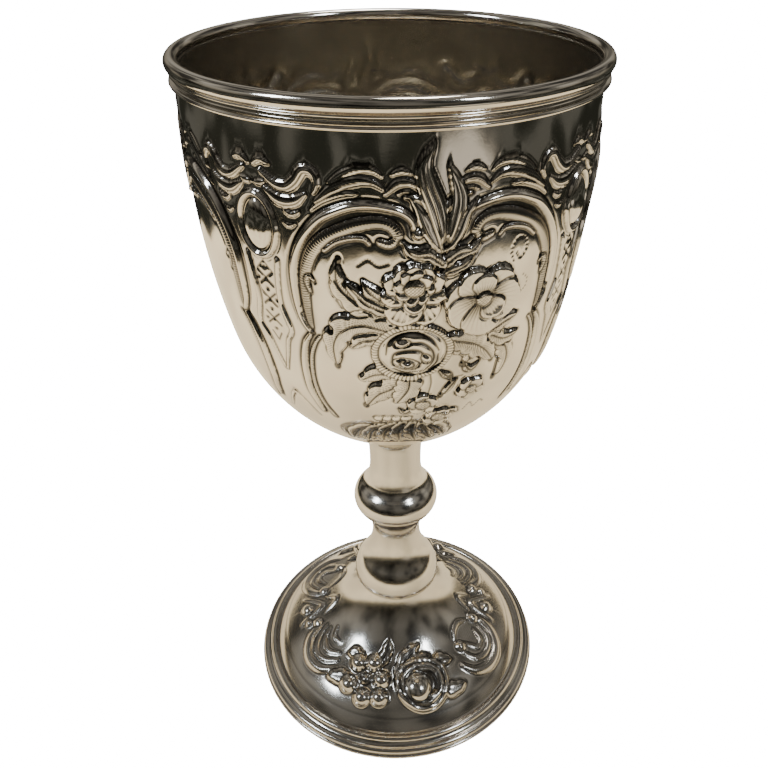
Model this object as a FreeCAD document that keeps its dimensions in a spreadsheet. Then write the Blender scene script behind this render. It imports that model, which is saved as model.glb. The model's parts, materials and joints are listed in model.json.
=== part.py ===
import FreeCAD, Part
import Sketcher
import math
import os

# A footed drinking vessel in sheet silver: a raised bowl, a three-piece turned stem and
# a domed foot, drawn together by one threaded rod. Z is up, the axis of turning is Z,
# and the origin is the centre of the face that the foot stands on. Millimetres.

doc = FreeCAD.newDocument("FootedCup")

drivingSizes = {
    # bowl
    "mouthRadius": 39.4,        # outside of the wall at the mouth
    "bowlWall": 0.8,            # sheet thickness
    "bowlHeight": 85.4,         # seat to the top of the wall
    "straightHeight": 14.6,     # upright part of the wall under the mouth
    "bowlSeatRadius": 6.6,      # flat underneath, where the stem meets it
    "bellyRadius": 35.0,        # outside, where the side arc starts
    "bellyHeight": 33.4,        # of that point over the seat
    "cradleRadius": 20.2,       # outside, where the bottom arc ends
    "cradleHeight": 9.4,        # of that point over the seat
    "sideCurve": 161.0,
    "bellyCurve": 44.9,
    "cradleCurve": 86.7,
    # mouth wires
    "lipWireRadius": 1.3,
    "lipWireOffset": 0.25,      # centre of the lip wire outside the wall
    "upperReed": 1.2,           # heights of the two reeds of the moulding
    "lowerReed": 1.5,
    "mouldingBack": 0.5,        # metal behind the reeds
    # stem
    "neckHeight": 15.7,
    "neckTopRadius": 8.0,
    "neckWaistRadius": 6.4,
    "neckWaistHeight": 5.4,
    "neckUpperCurve": 34.0,
    "neckLowerCurve": 15.0,
    "knopHeight": 12.6,
    "knopRadius": 10.7,
    "knopCurve": 7.67,
    "knopSeatRadius": 7.4,      # shared by the knop and the pieces on each side
    "lowerStemHeight": 23.3,
    "lowerWaistRadius": 6.2,
    "lowerWaistHeight": 18.4,
    "shoulderRadius": 9.3,
    "shoulderHeight": 8.9,
    "bulbRadius": 11.2,
    "bulbHeight": 2.8,          # of the widest ring over the foot
    "bulbSeatRadius": 9.4,
    "lowerFlareCurve": 10.6,
    "lowerSweepCurve": 16.1,
    "bulbCurve": 10.7,
    "bulbTuckCurve": 3.1,
    "stemBore": 4.4,            # radius of the hollow
    "stemWall": 1.4,            # thinnest metal round the hollows of bulb and knop
    # foot
    "footRadius": 39.0,
    "footWireHeight": 1.1,
    "footWireWidth": 5.6,
    "rimInset": 0.6,            # lower edge of the rim moulding inside the foot wire
    "rimBeadHeight": 1.5,       # large bead at the edge
    "rimBeadLean": 0.7,         # how far it leans in
    "rimWidth": 4.3,            # edge of the foot to the dome
    "topBeadWidth": 1.5,        # small bead round the dome
    "ledgeRise": 0.9,           # ledge over the large bead
    "ledgeWidth": 1.3,          # the dome stands on this ledge
    "beadLift": 0.1,            # small bead over the ledge
    "domeWall": 0.9,
    "domeHeight": 22.1,         # ledge to the stem seat
    "domeSeatRadius": 9.8,
    "domeShoulderRadius": 24.0,
    "domeShoulderHeight": 8.0,
    "domeOuterCurve": 23.1,
    "domeInnerCurve": 23.8,
    # hidden fixings
    "rodRadius": 2.0,
    "bossRadius": 4.0,
    "bossHeight": 6.0,
    "bossFloor": 1.8,           # metal over the blind hole
    "washerRadius": 6.4,
    "washerHeight": 1.0,
    "nutFlats": 7.0,
    "nutHeight": 3.2,
    "rodTail": 1.5,             # rod under the nut
    # clearances
    "rodClearance": 0.15,
    "solderGap": 0.05,
}

sheet = doc.addObject("Spreadsheet::Sheet", "Sizes")
for row, (word, number) in enumerate(drivingSizes.items(), start=1):
    sheet.set("A%d" % row, word)
    sheet.set("B%d" % row, str(number))
    sheet.setAlias("B%d" % row, word)
doc.recompute()


class Size:
    """A length that keeps the sheet formula it comes from beside its value."""

    def __init__(self, value, formula):
        self.value = value
        self.formula = formula

    def joined(self, other, sign, value):
        right = other.formula if isinstance(other, Size) else repr(float(other))
        return Size(value, "(%s %s %s)" % (self.formula, sign, right))

    def __add__(self, other):
        return self.joined(other, "+", self.value + number(other))

    def __sub__(self, other):
        return self.joined(other, "-", self.value - number(other))

    def __mul__(self, other):
        return self.joined(other, "*", self.value * number(other))


def number(size):
    return size.value if isinstance(size, Size) else float(size)


def size(word):
    return Size(float(sheet.get(word)), "Sizes." + word)


zero = Size(0.0, "0")
bend = 1            # an arc that swells out of the metal
hollow = -1         # an arc that sinks into it


def newBody(label, height):
    """A body of its own name, placed at its height on the axis."""
    body = doc.addObject("PartDesign::Body", label)
    body.Label = label
    body.setExpression(".Placement.Base.z", height.formula)
    return body


def newSketch(body, name, role):
    plane = [item for item in body.Origin.OriginFeatures if item.Role == role][0]
    sketch = body.newObject("Sketcher::SketchObject", name)
    sketch.AttachmentSupport = (plane, [""])
    sketch.MapMode = "FlatFace"
    return sketch


def arcEdge(start, end, radius, side):
    """The short arc between two points, swelling to the right of the way it runs when
    side is 1 and to the left when it is -1."""
    chord = end - start
    rise = math.sqrt(max(radius ** 2 - (chord.Length / 2) ** 2, 0.0))
    across = FreeCAD.Vector(-chord.y, chord.x, 0).normalize()
    centre = (start + end) * 0.5 + across * rise * side
    circle = Part.Circle(centre, FreeCAD.Vector(0, 0, 1), radius)
    first = math.atan2(start.y - centre.y, start.x - centre.x)
    last = math.atan2(end.y - centre.y, end.x - centre.x)
    if side < 0:
        first, last = last, first
    return Part.ArcOfCircle(circle, first, last)


def bindSize(sketch, index, length):
    sketch.setExpression("Constraints[%d]" % index, length.formula)


def drawOutline(sketch, corners):
    """A closed outline. Each corner is (across, up) or (across, up, radius, side), and
    the last two say how the edge that arrives at it bends. Every corner is held by its
    two distances from the origin, and every arc by its radius."""
    points = [FreeCAD.Vector(number(c[0]), number(c[1]), 0) for c in corners]
    ends = []                                   # (start vertex, end vertex) of each edge
    for i, corner in enumerate(corners):
        start, end = points[i - 1], points[i]
        if len(corner) == 4:
            sketch.addGeometry(arcEdge(start, end, number(corner[2]), corner[3]), False)
            ends.append((1, 2) if corner[3] > 0 else (2, 1))
        else:
            sketch.addGeometry(Part.LineSegment(start, end), False)
            ends.append((1, 2))
    for i, corner in enumerate(corners):
        before = i - 1 if i else len(corners) - 1
        sketch.addConstraint(
            Sketcher.Constraint("Coincident", before, ends[before][1], i, ends[i][0]))
        if number(corner[0]) == 0.0:
            sketch.addConstraint(Sketcher.Constraint("PointOnObject", i, ends[i][1], -2))
        else:
            index = sketch.addConstraint(Sketcher.Constraint(
                "DistanceX", -1, 1, i, ends[i][1], number(corner[0])))
            bindSize(sketch, index, corner[0])
        if number(corner[1]) == 0.0:
            sketch.addConstraint(Sketcher.Constraint("PointOnObject", i, ends[i][1], -1))
        else:
            index = sketch.addConstraint(Sketcher.Constraint(
                "DistanceY", -1, 1, i, ends[i][1], number(corner[1])))
            bindSize(sketch, index, corner[1])
        if len(corner) == 4:
            index = sketch.addConstraint(
                Sketcher.Constraint("Radius", i, number(corner[2])))
            bindSize(sketch, index, corner[2])


def turned(label, height, corners):
    """A piece turned about Z from one closed half outline, given anticlockwise."""
    body = newBody(label, height)
    sketch = newSketch(body, label + "_outline", "XZ_Plane")
    drawOutline(sketch, corners)
    turn = body.newObject("PartDesign::Revolution", label + "_turned")
    turn.Profile = sketch
    turn.ReferenceAxis = (sketch, ["V_Axis"])
    turn.Angle = 360.0
    sketch.Visibility = False
    return body


def insideWall(across, up, slope, wall):
    """The point one wall thickness inside an outer point whose side leans at slope."""
    lean = math.radians(slope)
    return across - wall * math.sin(lean), up + wall * math.cos(lean)


# heights of the seats, from the ground up
rimLevel = size("footWireHeight")
ledgeLevel = rimLevel + size("rimBeadHeight") + size("ledgeRise")
domeSeat = ledgeLevel + size("domeHeight")
knopSeat = domeSeat + size("lowerStemHeight")
neckSeat = knopSeat + size("knopHeight")
bowlSeat = neckSeat + size("neckHeight")
mouthLevel = bowlSeat + size("bowlHeight")

# radii that mating pieces share
domeBase = size("footRadius") - size("rimWidth")
rodHole = size("rodRadius") + size("rodClearance")


def makeBowl():
    """Raised from one sheet. The inside follows the outside one wall away."""
    wall = size("bowlWall")
    mouth, inner = size("mouthRadius"), size("mouthRadius") - wall
    sideTop = size("bowlHeight") - size("straightHeight")
    belly = (size("bellyRadius"), size("bellyHeight"))
    cradle = (size("cradleRadius"), size("cradleHeight"))
    bellySlope, cradleSlope = 76.6, 40.0
    innerBelly = insideWall(*belly, bellySlope, wall)
    innerCradle = insideWall(*cradle, cradleSlope, wall)
    return turned("bowl", bowlSeat, [
        (zero, zero),
        (size("bowlSeatRadius"), zero),
        cradle + (size("cradleCurve"), bend),
        belly + (size("bellyCurve"), bend),
        (mouth, sideTop, size("sideCurve"), bend),
        (mouth, size("bowlHeight")),
        (inner, size("bowlHeight")),
        (inner, sideTop),
        innerBelly + (size("sideCurve") - wall, hollow),
        innerCradle + (size("bellyCurve") - wall, hollow),
        (size("bowlSeatRadius") - wall * 0.26, wall, size("cradleCurve") - wall, hollow),
        (zero, wall),
    ])


def makeLipWire():
    """Round wire with a flat filed underneath, seated on the edge of the wall."""
    radius = size("lipWireRadius")
    middle = size("mouthRadius") + size("lipWireOffset")
    halfFlat, flatDepth = radius * 0.533, radius * 0.846
    return turned("lip_wire", mouthLevel, [
        (middle - halfFlat, zero, radius, bend),
        (middle + halfFlat, zero),
        (middle, flatDepth + radius, radius, bend),
    ])


def makeMouthMoulding():
    """Drawn strip of two reeds, round the wall and tight under the lip wire."""
    lower, upper = size("lowerReed"), size("upperReed")
    back = size("mouthRadius") + size("solderGap")
    root = back + size("mouldingBack")
    fullness = 0.52             # radius of a reed over its height
    return turned("mouth_moulding", mouthLevel - upper - lower, [
        (back, zero),
        (root, zero),
        (root, lower, lower * fullness, bend),
        (root, lower + upper, upper * fullness, bend),
        (back, lower + upper),
    ])


def makeBowlBoss():
    """Turned boss under the bowl with a blind hole that takes the rod."""
    floor = size("bossHeight") - size("bossFloor")
    return turned("bowl_boss", bowlSeat - size("bossHeight"), [
        (rodHole, zero),
        (size("bossRadius"), zero),
        (size("bossRadius"), size("bossHeight")),
        (zero, size("bossHeight")),
        (zero, floor),
        (rodHole, floor),
    ])


def makeStemNeck():
    bore, height = size("stemBore"), size("neckHeight")
    return turned("stem_neck", neckSeat, [
        (bore, zero),
        (size("knopSeatRadius"), zero),
        (size("neckWaistRadius"), size("neckWaistHeight"), size("neckLowerCurve"), hollow),
        (size("neckTopRadius"), height, size("neckUpperCurve"), hollow),
        (bore, height),
    ])


def makeStemKnop():
    bore, height, wall = size("stemBore"), size("knopHeight"), size("stemWall")
    seat, middle = size("knopSeatRadius"), height * 0.5
    return turned("stem_knop", knopSeat, [
        (bore, zero),
        (seat, zero),
        (size("knopRadius"), middle, size("knopCurve"), bend),
        (seat, height, size("knopCurve"), bend),
        (bore, height),
        (bore, height - wall),
        (size("knopRadius") - wall, middle),
        (bore, wall),
    ])


def makeLowerStem():
    """Waist over a shouldered bulb, hollow right through."""
    bore, height = size("stemBore"), size("lowerStemHeight")
    bulbBore = size("bulbSeatRadius") - size("stemWall")
    hollowEnd = size("shoulderHeight") - size("stemWall")
    boreEnd = size("lowerWaistHeight") - size("stemWall") * 2
    return turned("lower_stem", domeSeat, [
        (bulbBore, zero),
        (size("bulbSeatRadius"), zero),
        (size("bulbRadius"), size("bulbHeight"), size("bulbTuckCurve"), bend),
        (size("shoulderRadius"), size("shoulderHeight"), size("bulbCurve"), bend),
        (size("lowerWaistRadius"), size("lowerWaistHeight"), size("lowerSweepCurve"), hollow),
        (size("knopSeatRadius"), height, size("lowerFlareCurve"), hollow),
        (bore, height),
        (bore, boreEnd),
        (bulbBore, hollowEnd),
    ])


def makeFootDome():
    """Raised sheet: a full shoulder, then a hollow sweep up to the flat stem seat."""
    wall, top = size("domeWall"), size("domeHeight")
    base = domeBase - size("solderGap")
    seat = size("domeSeatRadius")
    shoulder = (size("domeShoulderRadius"), size("domeShoulderHeight"))
    shoulderSlope = 160.0       # measured as the outside is followed upwards
    innerShoulder = insideWall(*shoulder, shoulderSlope, wall)
    return turned("foot_dome", ledgeLevel, [
        (base - wall * 1.2, zero, size("domeOuterCurve") - wall, hollow),
        (base, zero),
        shoulder + (size("domeOuterCurve"), bend),
        (seat, top, size("domeInnerCurve"), hollow),
        (rodHole, top),
        (rodHole, top - wall),
        (seat - wall * 0.7, top - wall),
        innerShoulder + (size("domeInnerCurve") + wall, bend),
    ])


def makeFootRim():
    """Cast moulding: large bead, cove, small bead, and the ledge behind for the dome."""
    edge = size("footRadius") - size("rimInset")
    beadTop, ledge = size("rimBeadHeight"), size("rimBeadHeight") + size("ledgeRise")
    beadShelf = ledge + size("beadLift")
    beadFullness = 0.62         # radius over height of the large bead
    topFullness = 0.56          # radius over width of the small one
    return turned("foot_rim", rimLevel, [
        (domeBase - size("ledgeWidth"), zero),
        (edge, zero),
        (edge - size("rimBeadLean"), beadTop, beadTop * beadFullness, bend),
        (domeBase + size("topBeadWidth"), beadShelf, size("topBeadWidth"), hollow),
        (domeBase, beadShelf, size("topBeadWidth") * topFullness, bend),
        (domeBase, ledge),
        (domeBase - size("ledgeWidth"), ledge),
    ])


def makeFootWire():
    """Flat wire under the rim, rounded outside, that the foot stands on."""
    height = size("footWireHeight")
    fullness = 0.552            # radius of the rounded edge over the height
    edge = size("footRadius") - height * 0.318
    inner = size("footRadius") - size("footWireWidth")
    return turned("foot_wire", zero, [
        (inner, zero),
        (edge, zero),
        (edge, height, height * fullness, bend),
        (inner, height),
    ])


washerLevel = domeSeat - size("domeWall") - size("washerHeight")
nutLevel = washerLevel - size("nutHeight")


def makeTieRod():
    """Threaded rod from the blind hole of the boss to below the nut."""
    radius, low = size("rodRadius"), nutLevel - size("rodTail")
    length = bowlSeat - size("bossFloor") - low
    point = radius * 0.2
    return turned("tie_rod", low, [
        (zero, zero),
        (radius - point, zero),
        (radius, point),
        (radius, length - point),
        (radius - point, length),
        (zero, length),
    ])


def makeWasher():
    height = size("washerHeight")
    return turned("rod_washer", washerLevel, [
        (rodHole, zero),
        (size("washerRadius"), zero),
        (size("washerRadius"), height),
        (rodHole, height),
    ])


def makeNut():
    """Hexagon nut: one sketch of six corners and the bore, padded up."""
    body = newBody("rod_nut", nutLevel)
    sketch = newSketch(body, "rod_nut_outline", "XY_Plane")
    corner = size("nutFlats") * (1 / math.sqrt(3))
    turns = [math.radians(30 + 60 * step) for step in range(6)]
    ring = [(corner * math.cos(turn), corner * math.sin(turn)) for turn in turns]
    ring[1] = (zero, corner)
    ring[4] = (zero, corner * -1)
    drawOutline(sketch, ring)
    circle = Part.Circle(FreeCAD.Vector(0, 0, 0), FreeCAD.Vector(0, 0, 1), number(rodHole))
    bore = sketch.addGeometry(circle, False)
    sketch.addConstraint(Sketcher.Constraint("Coincident", bore, 3, -1, 1))
    index = sketch.addConstraint(Sketcher.Constraint("Radius", bore, number(rodHole)))
    bindSize(sketch, index, rodHole)
    pad = body.newObject("PartDesign::Pad", "rod_nut_pad")
    pad.Profile = sketch
    pad.setExpression("Length", "Sizes.nutHeight")
    sketch.Visibility = False
    return body


makers = [
    makeBowl, makeLipWire, makeMouthMoulding, makeBowlBoss, makeStemNeck, makeStemKnop,
    makeLowerStem, makeFootDome, makeFootRim, makeFootWire, makeTieRod, makeWasher, makeNut,
]
pieces = [make() for make in makers]
doc.recompute()

for item in doc.Objects:
    if "Invalid" in item.State or "Error" in item.State:
        raise RuntimeError("%s did not recompute: %s" % (item.Name, item.State))
for piece in pieces:
    shape = piece.Shape
    if shape.isNull() or not shape.isValid() or len(shape.Solids) != 1:
        raise RuntimeError("%s has no sound solid" % piece.Label)

os.makedirs("parts", exist_ok=True)
for piece in pieces:
    box = piece.Shape.BoundBox
    print("%-15s %8.1f mm3  z %6.2f to %6.2f  radius %5.2f" % (
        piece.Label, piece.Shape.Volume, box.ZMin, box.ZMax, box.XMax))
    piece.Shape.exportStep("parts/%s.step" % piece.Label)
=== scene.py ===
import json
import math

import bpy
import numpy as np
from mathutils import Matrix, Vector

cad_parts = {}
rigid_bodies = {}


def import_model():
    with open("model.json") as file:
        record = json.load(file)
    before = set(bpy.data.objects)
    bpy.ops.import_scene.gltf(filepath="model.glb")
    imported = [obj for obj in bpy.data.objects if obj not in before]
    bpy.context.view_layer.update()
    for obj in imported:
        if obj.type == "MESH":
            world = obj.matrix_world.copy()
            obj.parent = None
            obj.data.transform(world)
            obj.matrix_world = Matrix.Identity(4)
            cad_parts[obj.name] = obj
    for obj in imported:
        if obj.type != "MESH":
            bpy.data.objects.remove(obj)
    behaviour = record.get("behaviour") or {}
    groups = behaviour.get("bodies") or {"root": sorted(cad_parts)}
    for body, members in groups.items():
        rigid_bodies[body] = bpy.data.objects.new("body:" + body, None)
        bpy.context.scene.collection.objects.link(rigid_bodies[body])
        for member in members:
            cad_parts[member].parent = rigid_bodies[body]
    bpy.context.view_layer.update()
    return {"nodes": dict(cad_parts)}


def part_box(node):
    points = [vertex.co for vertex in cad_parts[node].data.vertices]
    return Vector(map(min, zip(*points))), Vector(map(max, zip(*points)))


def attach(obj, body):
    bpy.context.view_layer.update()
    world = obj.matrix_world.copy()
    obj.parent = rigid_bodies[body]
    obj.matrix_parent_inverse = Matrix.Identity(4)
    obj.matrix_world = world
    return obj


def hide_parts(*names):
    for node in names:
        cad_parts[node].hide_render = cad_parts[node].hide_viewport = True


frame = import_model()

mm = 0.001
body = "root"


def say(stage):
    print("cup:", stage)


# outlines, in millimetres, read upwards or downwards from the heights of the frame

def nodeHeights(node):
    low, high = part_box(node)
    return low.z / mm, high.z / mm


def arcPoints(start, end, radius, side, step):
    # points on the short arc between two points, equally spaced in angle about its centre
    start, end = np.array(start, float), np.array(end, float)
    chord = end - start
    length = np.hypot(*chord)
    rise = math.sqrt(max(radius ** 2 - (length / 2) ** 2, 0))
    centre = (start + end) / 2 + np.array([-chord[1], chord[0]]) / length * rise * side
    first, last = start - centre, end - centre
    turn = math.atan2(first[0] * last[1] - first[1] * last[0], first @ last)
    count = max(int(abs(turn) * radius / step), 6)
    angle = math.atan2(first[1], first[0]) + turn * np.linspace(0, 1, count + 1)
    return centre + radius * np.stack([np.cos(angle), np.sin(angle)], 1)


def outlinePoints(corners, step=0.25):
    # corners are (across, up), with (radius, side) added where the edge that arrives is an arc
    points = [np.array([corners[0][:2]], float)]
    for before, corner in zip(corners[:-1], corners[1:]):
        if len(corner) == 4:
            points.append(arcPoints(before[:2], corner[:2], corner[2], corner[3], step)[1:])
        else:
            points.append(np.array([corner[:2]], float))
    return np.concatenate(points)


bend, hollow = 1, -1     # which way an arc swells on a line that runs upwards


# meshes from whole arrays

def gridFaces(rows, columns, wrapRows=False, wrapColumns=False):
    # quads between neighbouring rows and columns of a grid of points, counted row by row
    row = np.arange(rows if wrapRows else rows - 1)[:, None]
    column = np.arange(columns if wrapColumns else columns - 1)[None, :]
    nextRow, nextColumn = (row + 1) % rows, (column + 1) % columns
    corners = [row * columns + column, row * columns + nextColumn,
               nextRow * columns + nextColumn, nextRow * columns + column]
    shape = np.broadcast(row, column).shape
    return np.stack([np.broadcast_to(corner, shape) for corner in corners], -1).reshape(-1, 4)


def makePiece(name, points, faceSets, material, node, normals=None, values=None, lining=None):
    # points in millimetres; faceSets are arrays of faces with the same number of corners in each;
    # lining is the finish of every set after the first
    mesh = bpy.data.meshes.new(name)
    mesh.vertices.add(len(points))
    mesh.vertices.foreach_set("co", (points * mm).astype(np.float32).ravel())
    corners = np.concatenate([faces.ravel() for faces in faceSets]).astype(np.int32)
    sizes = np.concatenate([np.full(len(faces), faces.shape[1]) for faces in faceSets])
    starts = np.concatenate([[0], np.cumsum(sizes)[:-1]]).astype(np.int32)
    mesh.loops.add(len(corners))
    mesh.loops.foreach_set("vertex_index", corners)
    mesh.polygons.add(len(starts))
    mesh.polygons.foreach_set("loop_start", starts)
    mesh.update(calc_edges=True)
    mesh.validate()
    mesh.shade_smooth()
    if normals is None:
        mesh.set_sharp_from_angle(angle=math.radians(32))
    else:
        mesh.normals_split_custom_set_from_vertices(normals.astype(np.float32))
    for key, value in (values or {}).items():
        attribute = mesh.attributes.new(key, "FLOAT", "POINT")
        attribute.data.foreach_set("value", value.astype(np.float32))
    mesh.materials.append(material)
    if lining:
        mesh.materials.append(lining)
        which = (np.arange(len(starts)) >= len(faceSets[0])).astype(np.int32)
        mesh.polygons.foreach_set("material_index", which)
    piece = bpy.data.objects.new(name, mesh)
    bpy.context.scene.collection.objects.link(piece)
    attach(piece, body)
    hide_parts(node)
    return piece


def carriedRound(ring, segments):
    # an outline (across, up) carried once round the upright axis: x = across sin a, y = -across cos a
    angle = np.linspace(0, 2 * np.pi, segments, endpoint=False)[None, :]
    across, up = ring[:, :1], ring[:, 1:]
    return np.stack([across * np.sin(angle), -across * np.cos(angle), up + 0 * angle], -1).reshape(-1, 3)


def turnedPiece(name, ring, material, node, segments):
    # a closed outline carried round, with its faces turned outwards by the sign of the outline's area
    faces = gridFaces(len(ring), segments, True, True)
    area = np.sum(ring[:, 0] * np.roll(ring[:, 1], -1) - np.roll(ring[:, 0], -1) * ring[:, 1])
    if area > 0:
        faces = faces[:, ::-1]
    return makePiece(name, carriedRound(ring, segments), [faces], material, node)


# shader groups that several finishes share

def newGroup(name, inputs, outputs):
    group = bpy.data.node_groups.new(name, "ShaderNodeTree")
    for label, kind, value in inputs:
        socket = group.interface.new_socket(label, in_out="INPUT", socket_type=kind)
        socket.default_value = value
    for label, kind in outputs:
        group.interface.new_socket(label, in_out="OUTPUT", socket_type=kind)
    return group, group.nodes.new("NodeGroupInput"), group.nodes.new("NodeGroupOutput")


def addNode(tree, kind, settings=None, **inputs):
    # one node, its settings, and its inputs as plain values or as the sockets that feed them
    node = tree.nodes.new(kind)
    for key, value in (settings or {}).items():
        setattr(node, key, value)
    for key, value in inputs.items():
        label = key.replace("_", " ")
        numbered = label.startswith("in") and label[2:].isdigit()
        socket = node.inputs[int(label[2:]) if numbered else label]
        if isinstance(value, bpy.types.NodeSocket):
            tree.links.new(value, socket)
        else:
            socket.default_value = value
    return node


def mathNode(tree, operation, first, second=0.0, clamp=False):
    return addNode(tree, "ShaderNodeMath", dict(operation=operation, use_clamp=clamp),
                   in0=first, in1=second).outputs[0]


def multiplyAdd(tree, value, factor, extra):
    node = addNode(tree, "ShaderNodeMath", dict(operation="MULTIPLY_ADD"), in0=value, in1=factor, in2=extra)
    return node.outputs[0]


def noise(tree, place, scale, detail):
    return addNode(tree, "ShaderNodeTexNoise", None, Vector=place, Scale=scale, Detail=detail).outputs["Fac"]


def rescale(tree, value, low, high, newLow, newHigh):
    return addNode(tree, "ShaderNodeMapRange", None, Value=value, From_Min=low, From_Max=high,
                   To_Min=newLow, To_Max=newHigh).outputs[0]


def blendColour(tree, amount, first, second, how="MIX"):
    return addNode(tree, "ShaderNodeMix", dict(data_type="RGBA", blend_type=how),
                   in0=amount, in6=first, in7=second).outputs[2]


def makeHandlingGroup():
    # years of rubbing with a cloth: a cloudy bloom and two runs of hairline scratches
    tree, given, out = newGroup("handlingWear",
                                [("Gloss", "NodeSocketFloat", 0.08), ("Bloom", "NodeSocketFloat", 0.06)],
                                [("Roughness", "NodeSocketFloat"), ("Scratches", "NodeSocketFloat"),
                                 ("Cloud", "NodeSocketFloat")])
    place = addNode(tree, "ShaderNodeTexCoord").outputs["Object"]
    cloud = addNode(tree, "ShaderNodeTexNoise", None, Vector=place, Scale=55.0, Detail=4.0, Roughness=0.62)
    hairs = []
    runs = (((0.5, 0.9, 0.3), (60, 900, 260), 2.2), ((1.1, 0.2, 1.3), (900, 70, 300), 1.7))
    for turn, stretch, scale in runs:
        smear = addNode(tree, "ShaderNodeMapping", None, Vector=place, Rotation=turn, Scale=stretch)
        hair = addNode(tree, "ShaderNodeTexNoise", None, Vector=smear.outputs[0], Scale=scale, Detail=3.0,
                       Roughness=0.7)
        hairs.append(hair.outputs["Fac"])
    share = rescale(tree, cloud.outputs["Fac"], 0.35, 0.72, 0.0, 1.0)
    bloom = mathNode(tree, "MULTIPLY", share, given.outputs["Bloom"])
    tree.links.new(mathNode(tree, "ADD", given.outputs["Gloss"], bloom), out.inputs["Roughness"])
    tree.links.new(mathNode(tree, "ADD", *hairs), out.inputs["Scratches"])
    tree.links.new(cloud.outputs["Fac"], out.inputs["Cloud"])
    return tree


handlingWear = makeHandlingGroup()


def newMaterial(name):
    material = bpy.data.materials.new(name)
    material.use_nodes = True
    tree = material.node_tree
    shader = tree.nodes["Principled BSDF"]
    return material, tree, shader


# colours of the metals, each with the duller shade that its cloudy patches turn to
silverLook = dict(
    bright=(0.93, 0.885, 0.82, 1), warm=(0.80, 0.70, 0.57, 1),
    grey=(0.80, 0.765, 0.71, 1), greyWarm=(0.68, 0.61, 0.51, 1),
    # the lining colours, for the inner faces, are darker and warmer than the outside: partly a duller finish,
    # partly painted shade
    lining=(0.74, 0.69, 0.60, 1), liningWarm=(0.62, 0.57, 0.48, 1),
    steel=(0.46, 0.45, 0.43, 1), steelWorn=(0.28, 0.25, 0.22, 1),
    brass=(0.72, 0.53, 0.26, 1), brassWorn=(0.46, 0.31, 0.14, 1),
    oxide=(0.03, 0.026, 0.022, 1))


def wornSilver(name, gloss=0.07, bloom=0.07, scratch=0.02, warmth=0.35, bright="bright", warm="warm"):
    # handled metal: gloss and bloom set the roughness, scratch the relief of the hairlines, and warmth how
    # much of the duller shade the cloudy patches take
    material, tree, shader = newMaterial(name)
    wear = addNode(tree, "ShaderNodeGroup", dict(node_tree=handlingWear), Gloss=gloss, Bloom=bloom)
    cloud = rescale(tree, wear.outputs["Cloud"], 0.3, 0.75, 0.0, warmth)
    colour = blendColour(tree, cloud, silverLook[bright], silverLook[warm])
    bump = addNode(tree, "ShaderNodeBump", None, Strength=scratch, Distance=0.0002,
                   Height=wear.outputs["Scratches"])
    tree.links.new(colour, shader.inputs["Base Color"])
    tree.links.new(wear.outputs["Roughness"], shader.inputs["Roughness"])
    tree.links.new(bump.outputs[0], shader.inputs["Normal"])
    shader.inputs["Metallic"].default_value = 1.0
    return material


polishedSilver = wornSilver("polishedSilver")
softSilver = wornSilver("softSilver", gloss=0.13, bright="grey", warm="greyWarm")
say("finishes mixed")


# the plain turned pieces, whose outlines are (across, up) from the foot of their node

def lifted(points, node):
    return points + np.array([0, nodeHeights(node)[0]])


# round wire with a flat underneath
lip = dict(middle=39.65, radius=1.3, flatDrop=1.1, around=512)


def makeLipWire():
    # the circle's arc above the flat, closed by a straight line underneath
    turn = math.asin(lip["flatDrop"] / lip["radius"])
    angle = np.linspace(-turn, math.pi + turn, 48)
    ring = lip["radius"] * np.stack([np.cos(angle), np.sin(angle)], 1)
    ring = ring + np.array([lip["middle"], lip["flatDrop"]])
    return turnedPiece("lip_wire_drawn", lifted(ring, "lip_wire"), polishedSilver, "lip_wire",
                       lip["around"])


# back and root radii; then from below a bead, a hollow and a reed as height and swell
moulding = dict(back=39.45, root=39.95, steps=[(1.05, 0.566), (0.75, -0.30), (0.9, 0.45)], around=512)


def makeMoulding():
    points, level = [(moulding["back"], 0), (moulding["root"], 0)], 0.0
    for height, swell in moulding["steps"]:
        turn = np.linspace(0, 1, 18)[1:]
        # a step stands off its root by swell times (the sine of its share of the height) to the power 0.8
        across = moulding["root"] + swell * np.sin(np.pi * turn) ** 0.8
        points += list(zip(across, level + height * turn))
        level += height
    points.append((moulding["back"], level))
    return turnedPiece("mouth_reeds", lifted(np.array(points), "mouth_moulding"), polishedSilver,
                       "mouth_moulding", moulding["around"])


stem = dict(bore=4.4, around=288,
            neck=[(7.2, 0), (6.4, 4.6, 15.0, hollow), (6.6, 11.0, 60.0, hollow), (8.2, 15.7, 8.5, hollow)],
            knop=[(7.0, 0), (8.0, 2.0, 3.4, hollow), (10.7, 6.3, 4.9, bend), (8.7, 10.3, 5.2, bend),
                  (7.2, 12.6, 4.2, hollow)],
            lower=[(9.4, 0), (11.2, 2.8, 3.1, bend), (9.3, 8.9, 10.7, bend), (6.2, 18.4, 16.1, hollow),
                   (7.4, 23.3, 10.6, hollow)])


def makeStemPiece(name, node, corners):
    # the profile outside and a straight bore inside
    ring = outlinePoints(corners)
    top, foot = ring[-1, 1], ring[0, 1]
    inside = np.array([(stem["bore"], top), (stem["bore"], foot)])
    return turnedPiece(name, lifted(np.concatenate([ring, inside]), node), softSilver, node,
                       stem["around"])


rim = dict(around=448, step=0.12, wire=dict(inner=33.4, outer=39.0, height=1.1, edge=0.5),
           mould=[(33.4, 0), (38.4, 0), (37.7, 1.5, 0.93, bend), (36.2, 2.5, 1.5, hollow),
                  (34.7, 2.5, 0.84, bend), (34.7, 2.96), (33.4, 2.96)])


def makeFootRim():
    ring = outlinePoints(rim["mould"], rim["step"])
    return turnedPiece("foot_rim_mould", lifted(ring, "foot_rim"), softSilver, "foot_rim",
                       rim["around"])


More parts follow.
